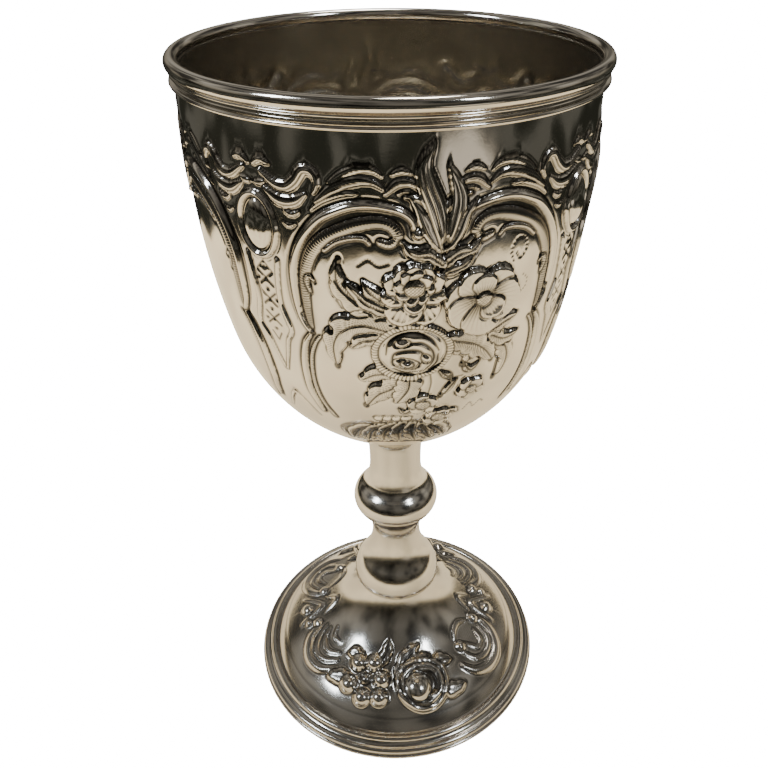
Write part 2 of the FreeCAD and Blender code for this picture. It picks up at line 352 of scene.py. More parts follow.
def makeFootWire():
    wire = rim["wire"]
    inner, outer, height, edge = wire["inner"], wire["outer"], wire["height"], wire["edge"]
    angle = np.linspace(-math.pi / 2, math.pi / 2, 14)
    # the outer edge is half an oval: across = outer - edge + edge cos a, up = height / 2 (1 + sin a)
    side = np.stack([outer - edge + edge * np.cos(angle), height / 2 * (1 + np.sin(angle))], 1)
    ring = np.concatenate([[(inner, 0)], side, [(inner, height)]])
    return turnedPiece("foot_wire_drawn", lifted(ring, "foot_wire"), softSilver, "foot_wire",
                       rim["around"])


makeLipWire()
makeMoulding()
makeStemPiece("stem_neck_turned", "stem_neck", stem["neck"])
makeStemPiece("stem_knop_turned", "stem_knop", stem["knop"])
makeStemPiece("stem_lower_turned", "lower_stem", stem["lower"])
makeFootRim()
makeFootWire()
say("wires and stem turned")


# the parts kept as they are, each with its own finish
keptParts = dict(
    tie_rod=dict(gloss=0.34, scratch=0.10, bright="steel", warm="steelWorn"),
    rod_washer=dict(gloss=0.30, scratch=0.08),
    bowl_boss=dict(gloss=0.16, scratch=0.05),
    rod_nut=dict(gloss=0.28, scratch=0.06, bright="brass", warm="brassWorn"))


def finishKeptParts():
    for node, look in keptParts.items():
        finish = wornSilver(node + "_finish", **look)
        holder = frame["nodes"][node]
        for thing in [holder, *holder.children_recursive]:
            if thing.type != "MESH":
                continue
            if not thing.material_slots:
                thing.data.materials.append(finish)
            for spot in thing.material_slots:
                spot.material = finish


finishKeptParts()
say("rod, washer, nut and boss finished")


# chasing: ornament as heights over degrees round and millimetres along the outline

period = 180.0         # degrees after which the ornament comes again
fine = dict(leafStroke=0.52, seed=0.62, toolStroke=0.5)     # pitches in millimetres


def smoothLine(points, steps=8):
    # cubic stretches through the points, each with a slope of half the step between the neighbours
    knots = np.array(points, float)
    if len(knots) == 2:
        return knots[0] + (knots[1] - knots[0]) * np.linspace(0, 1, 5)[:, None]
    before = np.vstack([2 * knots[0] - knots[1], knots[:-1]])
    after = np.vstack([knots[1:], 2 * knots[-1] - knots[-2]])
    slope = (after - before) / 2
    t = np.linspace(0, 1, steps, endpoint=False)[None, :, None]
    start, end, startSlope, endSlope = knots[:-1, None], knots[1:, None], slope[:-1, None], slope[1:, None]
    line = ((2 * t ** 3 - 3 * t ** 2 + 1) * start + (t ** 3 - 2 * t ** 2 + t) * startSlope
            + (3 * t ** 2 - 2 * t ** 3) * end + (t ** 3 - t ** 2) * endSlope)
    return np.vstack([line.reshape(-1, 2), knots[-1:]])


def tilted(across, down, degrees):
    # millimetres along a direction turned clockwise from across, and square to it
    turn = math.radians(degrees)
    return (across * math.cos(turn) + down * math.sin(turn),
            down * math.cos(turn) - across * math.sin(turn))


def taperAt(share, taper):
    # the parabola through three widths: at the start, the middle and the end
    start, middle, end = taper
    return start + share * (4 * middle - 3 * start - end) + share ** 2 * (2 * start + 2 * end - 4 * middle)


class Chasing:
    # one wall's ornament: fields of height, of tarnish mixed with painted shade, and of the strength and run
    # of tool strokes
    def __init__(self, first, columns, along, radius):
        self.angle = first + np.arange(columns) * period / columns
        self.along, self.radius = along, radius
        self.height = np.zeros((len(along), columns))
        self.dark = np.zeros_like(self.height)
        self.hatch = np.zeros_like(self.height)
        self.run = np.zeros_like(self.height)

    def window(self, low, high, reach):
        # rows and columns within reach of a box, with the columns in order of angle from its middle
        middle = (low[0] + high[0]) / 2
        rows = np.flatnonzero((self.along > low[1] - reach) & (self.along < high[1] + reach))
        spread = math.degrees(reach / self.radius[rows].min())
        away = (self.angle - middle + period / 2) % period - period / 2
        columns = np.flatnonzero(np.abs(away) < (high[0] - low[0]) / 2 + spread)
        columns = columns[np.argsort(away[columns])]
        return rows, columns, away[columns] + middle

    def near(self, points, reach):
        # for each grid point by a smooth line: its distance, the share of the line passed, and its side
        line = smoothLine(points)
        rows, columns, angle = self.window(line.min(0), line.max(0), reach)
        scale = np.radians(self.radius[rows])[:, None]
        along = self.along[rows]
        best = np.full((len(rows), len(columns)), 1e3)
        share, side = np.zeros_like(best), np.zeros_like(best)
        steps = np.hypot(np.diff(line[:, 0]) * scale.mean(), np.diff(line[:, 1]))
        passed = np.concatenate([[0], np.cumsum(steps)])
        self.lineLength = passed[-1]
        spread = reach / scale.min()
        for index, (start, end) in enumerate(zip(line[:-1], line[1:])):
            (leftmost, upper), (rightmost, lower) = np.minimum(start, end), np.maximum(start, end)
            top, foot = np.searchsorted(along, [upper - reach, lower + reach])
            left, right = np.searchsorted(angle, [leftmost - spread, rightmost + spread])
            part = slice(top, foot), slice(left, right)
            size = scale[top:foot]
            x, y = (angle[None, left:right] - start[0]) * size, along[top:foot, None] - start[1]
            ux, uy = (end[0] - start[0]) * size, end[1] - start[1]
            t = np.clip((x * ux + y * uy) / (ux ** 2 + uy ** 2 + 1e-12), 0, 1)
            distance = np.hypot(x - t * ux, y - t * uy)
            closer = distance < best[part]
            best[part] = np.where(closer, distance, best[part])
            share[part] = np.where(closer, (passed[index] + t * steps[index]) / passed[-1], share[part])
            side[part] = np.where(closer, np.sign(ux * y - uy * x), side[part])
        return np.ix_(rows, columns), best, share, side

    def around(self, at, reach):
        # millimetres across and down from a point
        at = np.array(at, float)
        rows, columns, angle = self.window(at, at, reach)
        across = (angle[None, :] - at[0]) * np.radians(self.radius[rows])[:, None]
        down = self.along[rows][:, None] - at[1] + 0 * across
        return np.ix_(rows, columns), across, down

    def groove(self, place, distance, width, depth, dark):
        # a bell-shaped cut: depth e^(-(distance / width)^2), darkened in proportion
        bell = np.exp(-(distance / width) ** 2)
        self.height[place] -= depth * bell
        self.dark[place] = np.maximum(self.dark[place], dark * bell)

    def lay(self, place, inside, height, dark=0.0, hatch=0.0, run=0.0):
        # a shape's own values take the place of what was there, wherever the shape covers the wall
        for field, value in ((self.height, height), (self.dark, dark), (self.hatch, hatch), (self.run, run)):
            field[place] = np.where(inside, value, field[place])

    def cut(self, points, width=0.3, depth=0.16, dark=0.95, taper=(0.5, 1, 0.4)):
        # a chased line: a groove along a smooth line, its width times the taper
        place, distance, share, _ = self.near(points, 1.2 + width)
        size = width * np.maximum(taperAt(share, taper), 0.15)
        self.groove(place, distance * width / size, width, depth, dark)

    def tone(self, points, width, dark):
        # a soft band of tarnish: dark e^(-(distance / width)^2), raised heights left a little cleaner
        place, distance, _, _ = self.near(points, width * 1.8)
        bell = dark * np.exp(-(distance / width) ** 2) * np.clip(1.15 - self.height[place], 0.35, 1)
        self.dark[place] = np.maximum(self.dark[place], bell)

    def tarnishAndShadeHollows(self, rows, columns, amount):
        # tarnish and painted shade left wherever the metal lies lower than the mean of its surroundings
        low = softened(self.height, rows, columns) - self.height
        self.dark = np.maximum(self.dark, np.clip(low * amount - 0.04, 0, 0.9))

    def ridge(self, points, width, height, taper=(0.45, 1, 0.35), edge=0.8, hatch=0.0, power=0.8, moat=0.2):
        # height (1 - (distance / half width)^2)^power over the line, with a dark chased line on each side
        place, distance, share, _ = self.near(points, width / 2 + 0.9)
        size = np.maximum(taperAt(share, taper), 0.12)
        half = width / 2 * size
        inside = distance < half
        body = height * size ** 0.6 * np.clip(1 - (distance / half) ** 2, 0, 1) ** power
        body = np.maximum(body, np.where(inside, self.height[place] * 0.6, 0))
        shading = np.where(inside, hatch * (distance / half) ** 2 * 0.6, 0)
        clear = body >= self.height[place] * 0.8
        self.lay(place, inside & clear, body, shading, hatch, share * self.lineLength)
        self.groove(place, np.where(inside, 9, distance - half - moat / 2), moat, 0.12, edge)

    def leaf(self, spine, width, height, taper=(0.3, 1.1, 0.05), lobes=4, shade=0.9, tone=0.3):
        # a blade about its spine, over running from 0 on the rib to 1 on the rim: the height is a flat
        # part plus the upper half of a circle of over, with fine strokes out to the rim and a rib groove
        place, distance, share, side = self.near(spine, width * 0.7 + 0.8)
        lobe = np.abs(np.sin(np.pi * (lobes * share ** 0.9 + 0.15 * side))) ** 0.7
        half = width / 2 * np.maximum(taperAt(share, taper), 0.06) * (0.72 + 0.28 * lobe)
        over = distance / half
        inside = over < 1
        length = share * self.lineLength
        stroke = np.cos(2 * np.pi * (length - 0.9 * distance) / fine["leafStroke"])
        cup = np.sqrt(np.clip(1 - (over - 0.15) ** 2, 0, 1))
        body = height * (0.38 + 0.62 * cup - 0.12 * (1 - lobe) * over)
        body = body + 0.03 * stroke * np.clip(over * 2, 0, 1)
        body = body - 0.30 * height * np.exp(-(distance / 0.20) ** 2)
        # painted shade: the strokes are drawn at full strength on the shadow side of the spine and at about
        # half on the lit side
        lit = np.where(side > 0, 1, 0.55)
        lines = np.clip(-stroke - 0.1, 0, 1) * shade * np.clip(1.25 - over, 0.15, 1) * lit
        lines = np.maximum(lines, np.exp(-(distance / 0.17) ** 2))
        # painted shade over the blade, as strong as tone at its base and fading towards the tip and the rim
        lines = np.clip(lines + tone * (1 - share) * (1 - over ** 3), 0, 1)
        self.lay(place, inside, body, lines, 0.0, 0.0)
        self.groove(place, np.where(inside, 9, distance - half - 0.12), 0.28, 0.18, 1.0)

    def petal(self, heart, bearing, reach, width, height, shade):
        # one petal on a bearing, share running from 0 at the heart to 1 at the tip: it rises with share and
        # towards the rim, and fan-like streaks leave the heart
        place, across, down = self.around(heart, reach + 1.2)
        x, y = tilted(across, down, bearing)
        share = np.clip(x / reach, 0, 1)
        half = width / 2 * np.sin(np.pi * np.clip(share, 0.001, 0.999) ** 1.25) ** 0.55
        half = half * (1 - 0.06 * np.cos(y * 5 / width + reach))
        over = np.abs(y) / np.maximum(half, 1e-3)
        inside = (over < 1) & (x > 0) & (x < reach)
        rim = np.maximum(over ** 2, share ** 3)
        fan = np.cos(np.arctan2(y, x + 1.0) * 46)
        lip = np.clip(rim - 0.85, 0, 1) / 0.15
        body = height * (0.50 + 0.30 * share + 0.28 * rim * share - 0.35 * lip * 0.5)
        body = body + 0.035 * fan * (1 - share) ** 0.5
        lines = 0.75 * np.clip(-fan, 0, 1) * shade * np.clip(1.0 - 1.15 * share, 0, 1)
        lines = np.clip(lines + shade * np.clip(1.15 - 2.0 * share, 0, 1), 0, 1)
        self.lay(place, inside, body, lines)
        beyond = np.hypot(x - reach, np.maximum(np.abs(y) - width * 0.12, 0))
        gap = np.where(x > reach - 0.02, beyond, np.where(x > 0, np.abs(y) - half, 9))
        self.groove(place, np.where(inside, 9, gap - 0.10), 0.26, 0.18, 1.0)

    def seeds(self, at, radius, height, dark=0.9):
        # punched seeds: a low dome with the product of two cosines, across and down, on top
        place, across, down = self.around(at, radius + 1)
        reach = np.hypot(across, down)
        turns = 2 * np.pi / fine["seed"]
        dots = np.cos(across * turns) * np.cos(down * turns)
        inside = reach < radius
        dome = np.sqrt(np.clip(1 - (reach / radius) ** 2, 0, 1))
        body = height * (0.75 + 0.25 * dome) + 0.08 * dots
        self.lay(place, inside, body, np.clip(0.35 - dots, 0, 1) * dark)
        self.groove(place, reach - radius, 0.2, 0.16, 1.0)

    def plume(self, spine, width, height, strands=5, taper=(0.10, 1, 0.05)):
        # a feather: half a circle across its width plus a cosine with the given number of strands
        place, distance, share, side = self.near(spine, width * 0.6 + 0.8)
        half = width / 2 * np.maximum(taperAt(share, taper), 0.06)
        over = distance / half * side
        inside = distance < half
        strand = np.cos(np.pi * strands * over)
        body = height * (0.45 + 0.35 * np.sqrt(np.clip(1 - over ** 2, 0, 1)) + 0.20 * strand)
        self.lay(place, inside, body, np.clip(-strand - 0.1, 0, 1) ** 0.7, 0.0, 0.0)
        self.groove(place, np.where(inside, 9, distance - half - 0.08), 0.22, 0.12, 0.95)

    def egg(self, at, size, height, tilt=0.0, edge=0.95, power=0.5, dark=0.0):
        # height (1 - u^2)^power, where u is the distance in the ellipse's own radii
        place, across, down = self.around(at, max(size) + 1)
        x, y = tilted(across, down, tilt)
        over = np.hypot(x / size[0], y / size[1])
        inside = over < 1
        self.lay(place, inside, height * np.clip(1 - over ** 2, 0, 1) ** power, dark)
        self.groove(place, np.where(inside, 9, (over - 1) * min(size) - 0.08), 0.2, 0.12, edge)

    def dots(self, points, pitch=0.85):
        # round punch marks along a line, every so many of its points
        line = smoothLine(points)
        length = np.hypot(*np.diff(line, axis=0).T).sum()
        for at in line[::max(int(len(line) / (length / pitch)), 1)]:
            place, across, down = self.around(at, 0.8)
            self.groove(place, np.hypot(across, down), 0.2, 0.1, 0.95)

    def loop(self, at, size, width, height, edge=0.8):
        # a half-round wire bent round an ellipse: height sqrt(1 - (2 distance / width)^2)
        place, across, down = self.around(at, max(size) + width + 1)
        over = np.hypot(across / size[0], down / size[1])
        stretch = np.hypot(across, down) / np.maximum(over, 1e-6)
        distance = np.abs(over - 1) * stretch * 0.96
        inside = distance < width / 2
        self.lay(place, inside, height * np.sqrt(np.clip(1 - (distance * 2 / width) ** 2, 0, 1)))
        self.groove(place, np.where(inside, 9, distance - width / 2 - 0.08), 0.2, 0.12, edge)

    def flower(self, heart, petals, height, core, first=0.0, shade=0.8):
        # petals as (bearing, reach, width), laid in the order given, each a little higher, then the seeds
        for index, (bearing, reach, width) in enumerate(petals):
            self.petal(heart, bearing + first, reach, width, height * (1 + 0.04 * index), shade)
        self.seeds(heart, core, height * 1.05)

    def collar(self, at, inner, outer, height, strokes):
        # a flat ring between two ellipses, with a cosine of the bearing for short strokes towards its middle
        place, across, down = self.around(at, max(outer) + 1)
        over = np.hypot(across / outer[0], down / outer[1])
        within = np.hypot(across / inner[0], down / inner[1])
        stroke = np.cos(np.arctan2(down / outer[1], across / outer[0]) * strokes)
        inside = (over < 1) & (within > 1)
        self.lay(place, inside, height * (0.8 + 0.2 * stroke), np.clip(0.1 - stroke, 0, 1) * 0.9)
        self.groove(place, np.where(over < 1, 9, (over - 1) * min(outer) - 0.05), 0.2, 0.12, 1.0)


def lowest(field, reach):
    # the least value within reach cells, along and around
    rows = np.pad(field, ((reach, reach), (0, 0)), "edge")
    least = np.min([rows[step:step + len(field)] for step in range(2 * reach + 1)], axis=0)
    return np.min([np.roll(least, step, axis=1) for step in range(-reach, reach + 1)], axis=0)


def softened(field, down, sides):
    # running means over 2n+1 rows and columns, done twice; the columns close on themselves
    for _ in range(2):
        total = sum(np.roll(field, shift, 1) for shift in range(-sides, sides + 1)) / (2 * sides + 1)
        padded = np.pad(total, ((down, down), (0, 0)), "edge")
        field = sum(padded[shift:shift + len(field)] for shift in range(2 * down + 1)) / (2 * down + 1)
    return field


def reverseOf(height, wall, down, sides, gain):
    # the relief as it shows on the inner face: softened, and never within half the wall of a groove outside
    return np.minimum(softened(height, down, sides) * gain, lowest(height, 3) + wall / 2)


# the ornament of the bowl

panelMiddles = (10.5, 100.5)       # degrees from the front; each comes again half a turn on
strapMiddles = (-34.5, 55.5)

# degrees out from the middle of a panel, millimetres down from the top of the wall
halfFrame = dict(
    ridges=[  # points, width, height
        ([(5.2, 18.8), (6, 16.6), (8.5, 15.1), (12.5, 14.3), (16.5, 14), (20.5, 14.4), (24.5, 15.5),
          (27.5, 16.7), (30.5, 18.8), (33, 21.3), (35, 24.5), (35.8, 28), (35.8, 33), (35, 36.5),
          (33, 39.4)], 1.6, 0.85),
        ([(33.5, 39.7), (35.5, 42), (37, 46), (37.5, 50), (37.5, 54), (36.5, 57), (35.5, 60.5)], 1.4, 0.75),
        ([(7.5, 12.7), (4.5, 13.2), (1.7, 15), (0.6, 18), (0.9, 20.5), (3.5, 21.6), (6.5, 21.3),
          (8.5, 20.3)], 1.3, 0.8)],
    flutes=[
        ([(33.2, 38), (33.4, 33), (33.0, 28), (31.2, 23.8), (28.2, 21), (24, 19), (19, 17.4), (14, 16.8),
          (10.6, 17.6), (9.4, 19.4), (11.2, 20.6), (13.4, 20.2)], 2.3, 0.36),
        ([(27, 22.3), (24, 20.6), (20.5, 19.7), (17.2, 19.7), (15.9, 20.6)], 0.8, 0.42),
        ([(30.8, 39.9), (32.5, 41.6), (34.5, 45), (35.6, 50), (35.3, 54), (34, 58), (31.5, 62)], 0.8, 0.4),
        ([(30.5, 28.2), (31.6, 27.3), (32.2, 28.2), (31.6, 30.5)], 0.7, 0.4)],
    waves=[
        ([(29.5, 15.4), (26.5, 13.6), (22.5, 12.5), (18.5, 12.3)], 0.9, 0.5),
        ([(28.4, 14), (24, 11.6), (19, 10.3), (15, 10.4), (12.3, 11.6)], 1.4, 0.6),
        ([(25, 10.8), (21.5, 9.2), (17.5, 8.3), (14.5, 8.6), (12.6, 9.6)], 1.1, 0.45),
        ([(12.2, 12.3), (9.5, 10.6), (6.5, 10.5), (4, 11.8)], 1.1, 0.45),
        ([(11, 9.3), (8.5, 8.6), (6, 9.2)], 0.8, 0.4),
        ([(9.5, 12.2), (7, 11.9), (4.6, 13)], 0.6, 0.4)],
    crest=[
        ([(42.3, 10.2), (38.5, 11.9), (35.5, 12.2), (33, 11), (31, 9.2), (28.7, 9.3), (27.6, 10.9),
          (28.3, 12.6)], 1.7, 0.8),
        ([(41.5, 13), (37.5, 14.6), (33.5, 14.4), (30.7, 13)], 1.9, 0.6),
        ([(44.3, 9.4), (42, 8.4), (39.5, 9)], 1.2, 0.7),
        ([(44.6, 12.4), (42.6, 12.3), (41.2, 12)], 0.9, 0.5),
        ([(36.6, 16.1), (34.4, 16.7), (32.4, 16)], 0.9, 0.5),
        ([(37, 18.2), (35.4, 18.7), (33.8, 18.2)], 0.7, 0.4)],
    tones=[  # points, width, darkness
        ([(33.5, 37), (34.2, 31), (33.6, 25.5), (31, 21.6), (26.5, 18.8), (20, 17), (13, 16.6),
          (8, 18)], 1.5, 0.75),
        ([(36.8, 44), (38, 50), (37.6, 56)], 0.7, 0.5),
        ([(28, 13.4), (22, 11.2), (15, 10.6), (9, 11.4)], 1.1, 0.5)],
    cuts=[
        [(38.6, 13.2), (35.5, 13.4), (32.5, 12.6)],
        [(37, 24), (38, 28), (37.9, 33), (36.8, 37)]])

plumes = [  # spine, width, height, strands
    ([(1.2, 22.6), (0.6, 18.6), (-0.8, 14.4), (-2.8, 10.6), (-3.4, 7.6), (-1.0, 4.2)], 3.6, 0.75, 4),
    ([(1.6, 22.4), (3.9, 17.6), (4.8, 13), (2.0, 7.6)], 2.8, 0.65, 3),
    ([(0.6, 22.6), (-2.4, 18.8), (-4.6, 15), (-7.0, 12.6)], 1.8, 0.6, 3),
    ([(2, 22.6), (5.2, 19.4), (7.0, 16), (9.4, 13.6)], 1.6, 0.55, 2)]

straps = dict(
    oval=(0, 19.8), eggSize=(2.9, 4.6), loopSize=(3.8, 5.5), loopWidth=1.1,
    border=[(4.8, 25.6), (4.0, 30), (3.8, 34.5), (5.6, 39.7), (3.6, 42.6), (2.2, 46), (0.3, 50.2)],
    innerBorder=[(3.9, 26.4), (3.2, 30), (3.0, 34.5), (4.2, 39.4)],
    crosses=(29.8, 34.1, 38.3),
    dots=[(0, 27.6), (0, 32), (0, 36.2), (0, 40.6), (-2.4, 30), (2.4, 34), (-2.4, 38.6)],
    fork=[(0, 56.4), (2.4, 58.6), (4.4, 61), (6.4, 63.2)])


def mirrored(points, middle, way):
    return [(middle + way * out, down) for out, down in points]


def chaseFrame(work, middle):
    for way in (-1, 1):
        for points, width, height in halfFrame["waves"]:
            work.plume(mirrored(points, middle, way), width * 1.25, height * 0.8, 3, (0.3, 1, 0.2))
        for points, width, height in halfFrame["crest"]:
            work.plume(mirrored(points, middle, way), width * 1.1, height * 0.85, 2, (0.4, 1, 0.3))
        for points, width, height in halfFrame["flutes"]:
            work.ridge(mirrored(points, middle, way), width, height, (0.5, 1, 0.5), edge=1.0, hatch=0.5,
                       moat=0.34)
        for points, width, dark in halfFrame["tones"]:
            work.tone(mirrored(points, middle, way), width, dark)
        for points, width, height in halfFrame["ridges"]:
            work.ridge(mirrored(points, middle, way), width, height, (0.5, 1, 0.45), edge=1.0, moat=0.42)
        for points in halfFrame["cuts"]:
            work.cut(mirrored(points, middle, way), 0.22, 0.12, 0.7)
        work.egg((middle + way * 4.6, 18.9), (0.95, 0.95), 0.9)
    for spine, width, height, strands in plumes:
        work.plume(mirrored(spine, middle, 1), width, height, strands)


def chaseStrap(work, middle):
    work.loop((middle, straps["oval"][1]), straps["loopSize"], straps["loopWidth"], 0.75)
    work.egg((middle, straps["oval"][1]), straps["eggSize"], 1.15, power=0.6)
    for way in (-1, 1):
        work.ridge(mirrored(straps["border"], middle, way), 0.85, 0.5, (1, 1, 0.5), edge=0.85)
        work.cut(mirrored(straps["innerBorder"], middle, way), 0.18, 0.10, 0.8)
        work.ridge(mirrored(straps["fork"], middle, way), 0.7, 0.35, (1, 0.8, 0.3), edge=0.6)
        for level in straps["crosses"]:
            stroke = [(middle - way * 2.2, level - 1.3), (middle + way * 2.2, level + 1.3)]
            work.cut(stroke, 0.24, 0.16, 1, (1, 1, 1))
        work.cut([(middle, 26.4), (middle + way * 2.6, 28.4)], 0.2, 0.14, 0.9, (1, 1, 1))
        work.cut([(middle, 43.2), (middle + way * 1.6, 41.4)], 0.2, 0.12, 0.9, (1, 1, 1))
    for out, down in straps["dots"]:
        work.cut([(middle + out - 0.2, down), (middle + out + 0.2, down)], 0.34, 0.2, 1, (1, 1, 1))


# the bouquet of the front panel, in degrees from the front and millimetres down; the back panel has the same
bouquetLeaves = [  # spine, width, height, taper, lobes
    ([(2, 34.6), (-4.5, 33), (-9.5, 31), (-13.4, 27.8), (-13.6, 23.9)], 5.6, 0.75, (0.9, 1.0, 0.05), 5),
    ([(0, 31.8), (-4.5, 30), (-7.4, 27.2)], 3.0, 0.85, (0.8, 1.1, 0.2), 2),
    ([(0, 33.4), (-6.5, 31.4), (-11.6, 27.4)], 2.2, 0.9, (0.8, 1, 0.1), 3),
    ([(-2, 37), (-8, 35.8), (-13.4, 37.4), (-16.2, 41), (-16.0, 46)], 5.6, 0.75, (0.8, 1.0, 0.05), 5),
    ([(-3.5, 38.8), (-8, 39.2), (-11.2, 41)], 3.2, 0.85, (0.8, 1, 0.3), 2),
    ([(3, 47.0), (-2.0, 46.9), (-5.6, 47.2), (-8.8, 48.4)], 4.0, 0.75, (0.7, 1.1, 0.5), 2),
    ([(3.2, 48.2), (-0.6, 50.6), (-5.0, 52.4), (-8.9, 56.0)], 4.6, 0.8, (0.8, 1.1, 0.05), 4),
    ([(4.4, 48.2), (3.8, 51.2), (0.4, 54.8)], 4.6, 0.85, (0.8, 1.1, 0.15), 3),
    ([(13, 40.6), (18.6, 41.6), (21.5, 44.2), (19.9, 46.8)], 4.4, 0.75, (0.8, 1.0, 0.05), 3),
    ([(20, 39.6), (27, 40.6), (32.8, 44.2), (34.6, 48.4), (32.4, 52.4)], 4.6, 0.75, (0.7, 1.0, 0.05), 5),
    ([(16, 40), (21.6, 41.4), (26, 43.8), (29.6, 47.2)], 5.0, 0.85, (0.7, 1.1, 0.05), 4),
    ([(27, 39.6), (31.5, 38.2), (35.8, 37.6)], 3.0, 0.7, (0.6, 1.1, 0.1), 2),
    ([(27.5, 40.8), (32, 42.4), (37.6, 42.0)], 2.6, 0.65, (0.6, 1.1, 0.1), 3),
    ([(20.5, 46.6), (22.6, 48.2), (25.4, 46.8)], 1.6, 0.55, (0.6, 1, 0.2), 1),
    ([(12.2, 24.6), (15.5, 22.8), (19, 22.4), (21.5, 20.4)], 2.4, 0.7, (0.8, 1, 0.1), 3),
    ([(11.5, 24.4), (8.6, 22.8), (5, 22.6), (2.4, 20.8)], 2.4, 0.7, (0.8, 1, 0.1), 3),
    ([(13, 26), (16.8, 25.2), (19.8, 23.4)], 2.0, 0.7, (0.8, 1, 0.1), 2),
    ([(9.5, 25.4), (6, 24.2), (2.2, 24.4)], 1.8, 0.6, (0.8, 1, 0.1), 2),
    ([(13.6, 47.6), (15.6, 48.8), (17.2, 50.4)], 1.5, 0.5, (0.5, 1, 0.2), 1),
    ([(18.5, 50.2), (16.8, 51.8), (14.2, 54.2)], 1.5, 0.5, (0.5, 1, 0.2), 1),
    ([(16.4, 60.4), (19.4, 59.4), (21.6, 60.6)], 1.6, 0.5, (0.5, 1, 0.2), 1),
    ([(6.4, 56.6), (3.6, 58.2), (1.6, 57.2)], 1.6, 0.5, (0.5, 1, 0.2), 1)]


def widened(petals, longer, wider):
    return [(bearing, reach * longer, width * wider) for bearing, reach, width in petals]


# petals as bearing clockwise from the right, reach and width
anemonePetals = widened([
    (68, 7.0, 5.6), (112, 7.0, 5.6), (20, 5.2, 3.4), (160, 5.2, 3.6), (200, 5.0, 3.4), (340, 5.0, 3.4),
    (240, 4.6, 3.4), (300, 4.6, 3.4), (270, 4.4, 3.2), (90, 4.2, 3.2)], 1.08, 1.1)
anemoneInner = [(turn * 45 + 12, 3.3, 2.3) for turn in range(8)]
poppyPetals = widened([
    (186, 6.6, 6.2), (236, 6.0, 5.0), (318, 6.2, 5.6), (140, 6.6, 6.6), (86, 7.0, 7.2), (12, 6.9, 7.4),
    (270, 4.4, 4.0), (50, 4.6, 4.4)], 1.1, 1.12)
smallPetals = [(turn * 72, 3.0, 2.9) for turn in range(5)]

bouquetFlowers = [  # heart, petals, height, radius of the seeds, first bearing, darkness
    ((24, 53.4), smallPetals, 0.8, 1.1, 20, 0.8), ((8.7, 55.8), smallPetals, 0.8, 1.4, 50, 1.0),
    ((14.6, 60.6), smallPetals, 0.8, 1.4, 10, 1.0), ((23.2, 32.0), poppyPetals, 1.0, 1.5, 0, 0.9),
    ((5.0, 28.6), anemonePetals, 1.0, 2.2, 0, 0.9), ((5.0, 28.2), anemoneInner, 1.25, 1.7, 0, 1.0)]

bouquetCuts = [
    [(-14.4, 31.4), (-13, 33), (-9.4, 34), (-6.8, 33.8)],
    [(10.4, 47.8), (10.9, 50.4), (10.4, 53)], [(16.4, 51.9), (18.5, 50), (20.6, 49.6)]]

bouquetDots = [  # punched tendrils
    [(31.4, 26.2), (30.6, 24), (32, 22.2), (34.4, 22.4), (35.2, 24.4), (33.6, 26), (32.4, 24.8)],
    [(35.6, 29.8), (37.2, 30.8), (37, 32.4), (35.8, 33.2)],
    [(-8.4, 24.4), (-6, 23.3), (-3.6, 24.4), (-1.2, 24)],
    [(24, 60.4), (26, 58.6), (28, 60.4), (30, 58.8), (31.6, 59.6)]]

bouquetDrops = [  # dark punch marks at the tips of leaves
    (-13.2, 23.7), (-16.6, 37.4), (-16.2, 46.1), (-9.0, 56.2), (19.8, 46.6), (29.6, 47.1), (32.3, 52.4),
    (16.2, 49.4), (14.3, 54.1), (12.4, 20.6)]

# the calyx that reaches down to the stem: where its leaves and its row of beads stand
calyx = dict(leaves=(-15, -9.5, -4, 1.5, 7, 12.5, 18), beads=(-5.2, -2.2, 0.8, 3.8), beadLevel=60.6)

# the veined ball in its collar of strokes
ball = dict(
    folds=[
        [(-2.2, 42), (-1.4, 39.4), (1.8, 37.8), (6, 37.6), (9.8, 39), (12, 41.6)],
        [(-0.6, 44.6), (0, 41.8), (3.6, 40.9), (7, 41.4), (7.6, 43.6), (5.8, 45.8)],
        [(4.6, 39.2), (7.6, 39.6), (10.2, 41.6), (10.6, 44), (8.6, 46.2)],
        [(11.8, 42.4), (11.6, 44.8), (9.6, 46.6)], [(0, 45.6), (3, 46.8), (6.2, 46.4)]],
    knobs=[  # place, size, height, tilt
        ((2.2, 39.5), (1.3, 0.8), 1.45, -10), ((3.2, 44.2), (2.3, 1.35), 1.5, 16),
        ((3.4, 44.2), (1.1, 0.6), 1.75, 16), ((8.6, 43.2), (0.8, 1.2), 1.35, -30)],
    body=dict(at=(5.0, 42.0), size=(5.9, 5.1), height=1.25, power=0.45),
    collar=dict(at=(5.0, 42.1), inner=(5.9, 5.0), outer=(7.2, 6.4), height=0.75, strokes=60))


def chaseBouquet(work):
    for spine, width, height, taper, lobes in bouquetLeaves:
        work.leaf(spine, width, height, taper, lobes)
    for points in bouquetCuts:
        work.cut(points, 0.2, 0.12, 0.85, (1, 1, 1))
    for points in bouquetDots:
        work.dots(points)
    for at in bouquetDrops:
        work.egg(at, (0.42, 0.62), 0.3, dark=0.85)
    # the calyx leaves take the strongest painted shade towards their bases (tone 1.0)
    for out in calyx["leaves"]:
        spine = [(out * 0.6 + 2, 62.4 + abs(out - 2) * 0.10), (out * 0.9, 66), (out * 1.2, 71.5)]
        work.leaf(spine, 3.4, 0.32, (0.6, 1.1, 0.4), 2, shade=0.9, tone=1.0)
    for out in calyx["beads"]:
        work.egg((out, calyx["beadLevel"]), (1.0, 0.9), 0.4)
    for heart, petals, height, core, first, shade in bouquetFlowers:
        work.flower(heart, petals, height, core, first, shade)
    work.collar(**ball["collar"])
    work.egg(**ball["body"])
    for points in ball["folds"]:
        work.cut(points, 0.34, 0.3, 1.0, (0.4, 1, 0.4))
    for at, size, height, tilt in ball["knobs"]:
        work.egg(at, size, height, tilt)


# the ornament of the foot

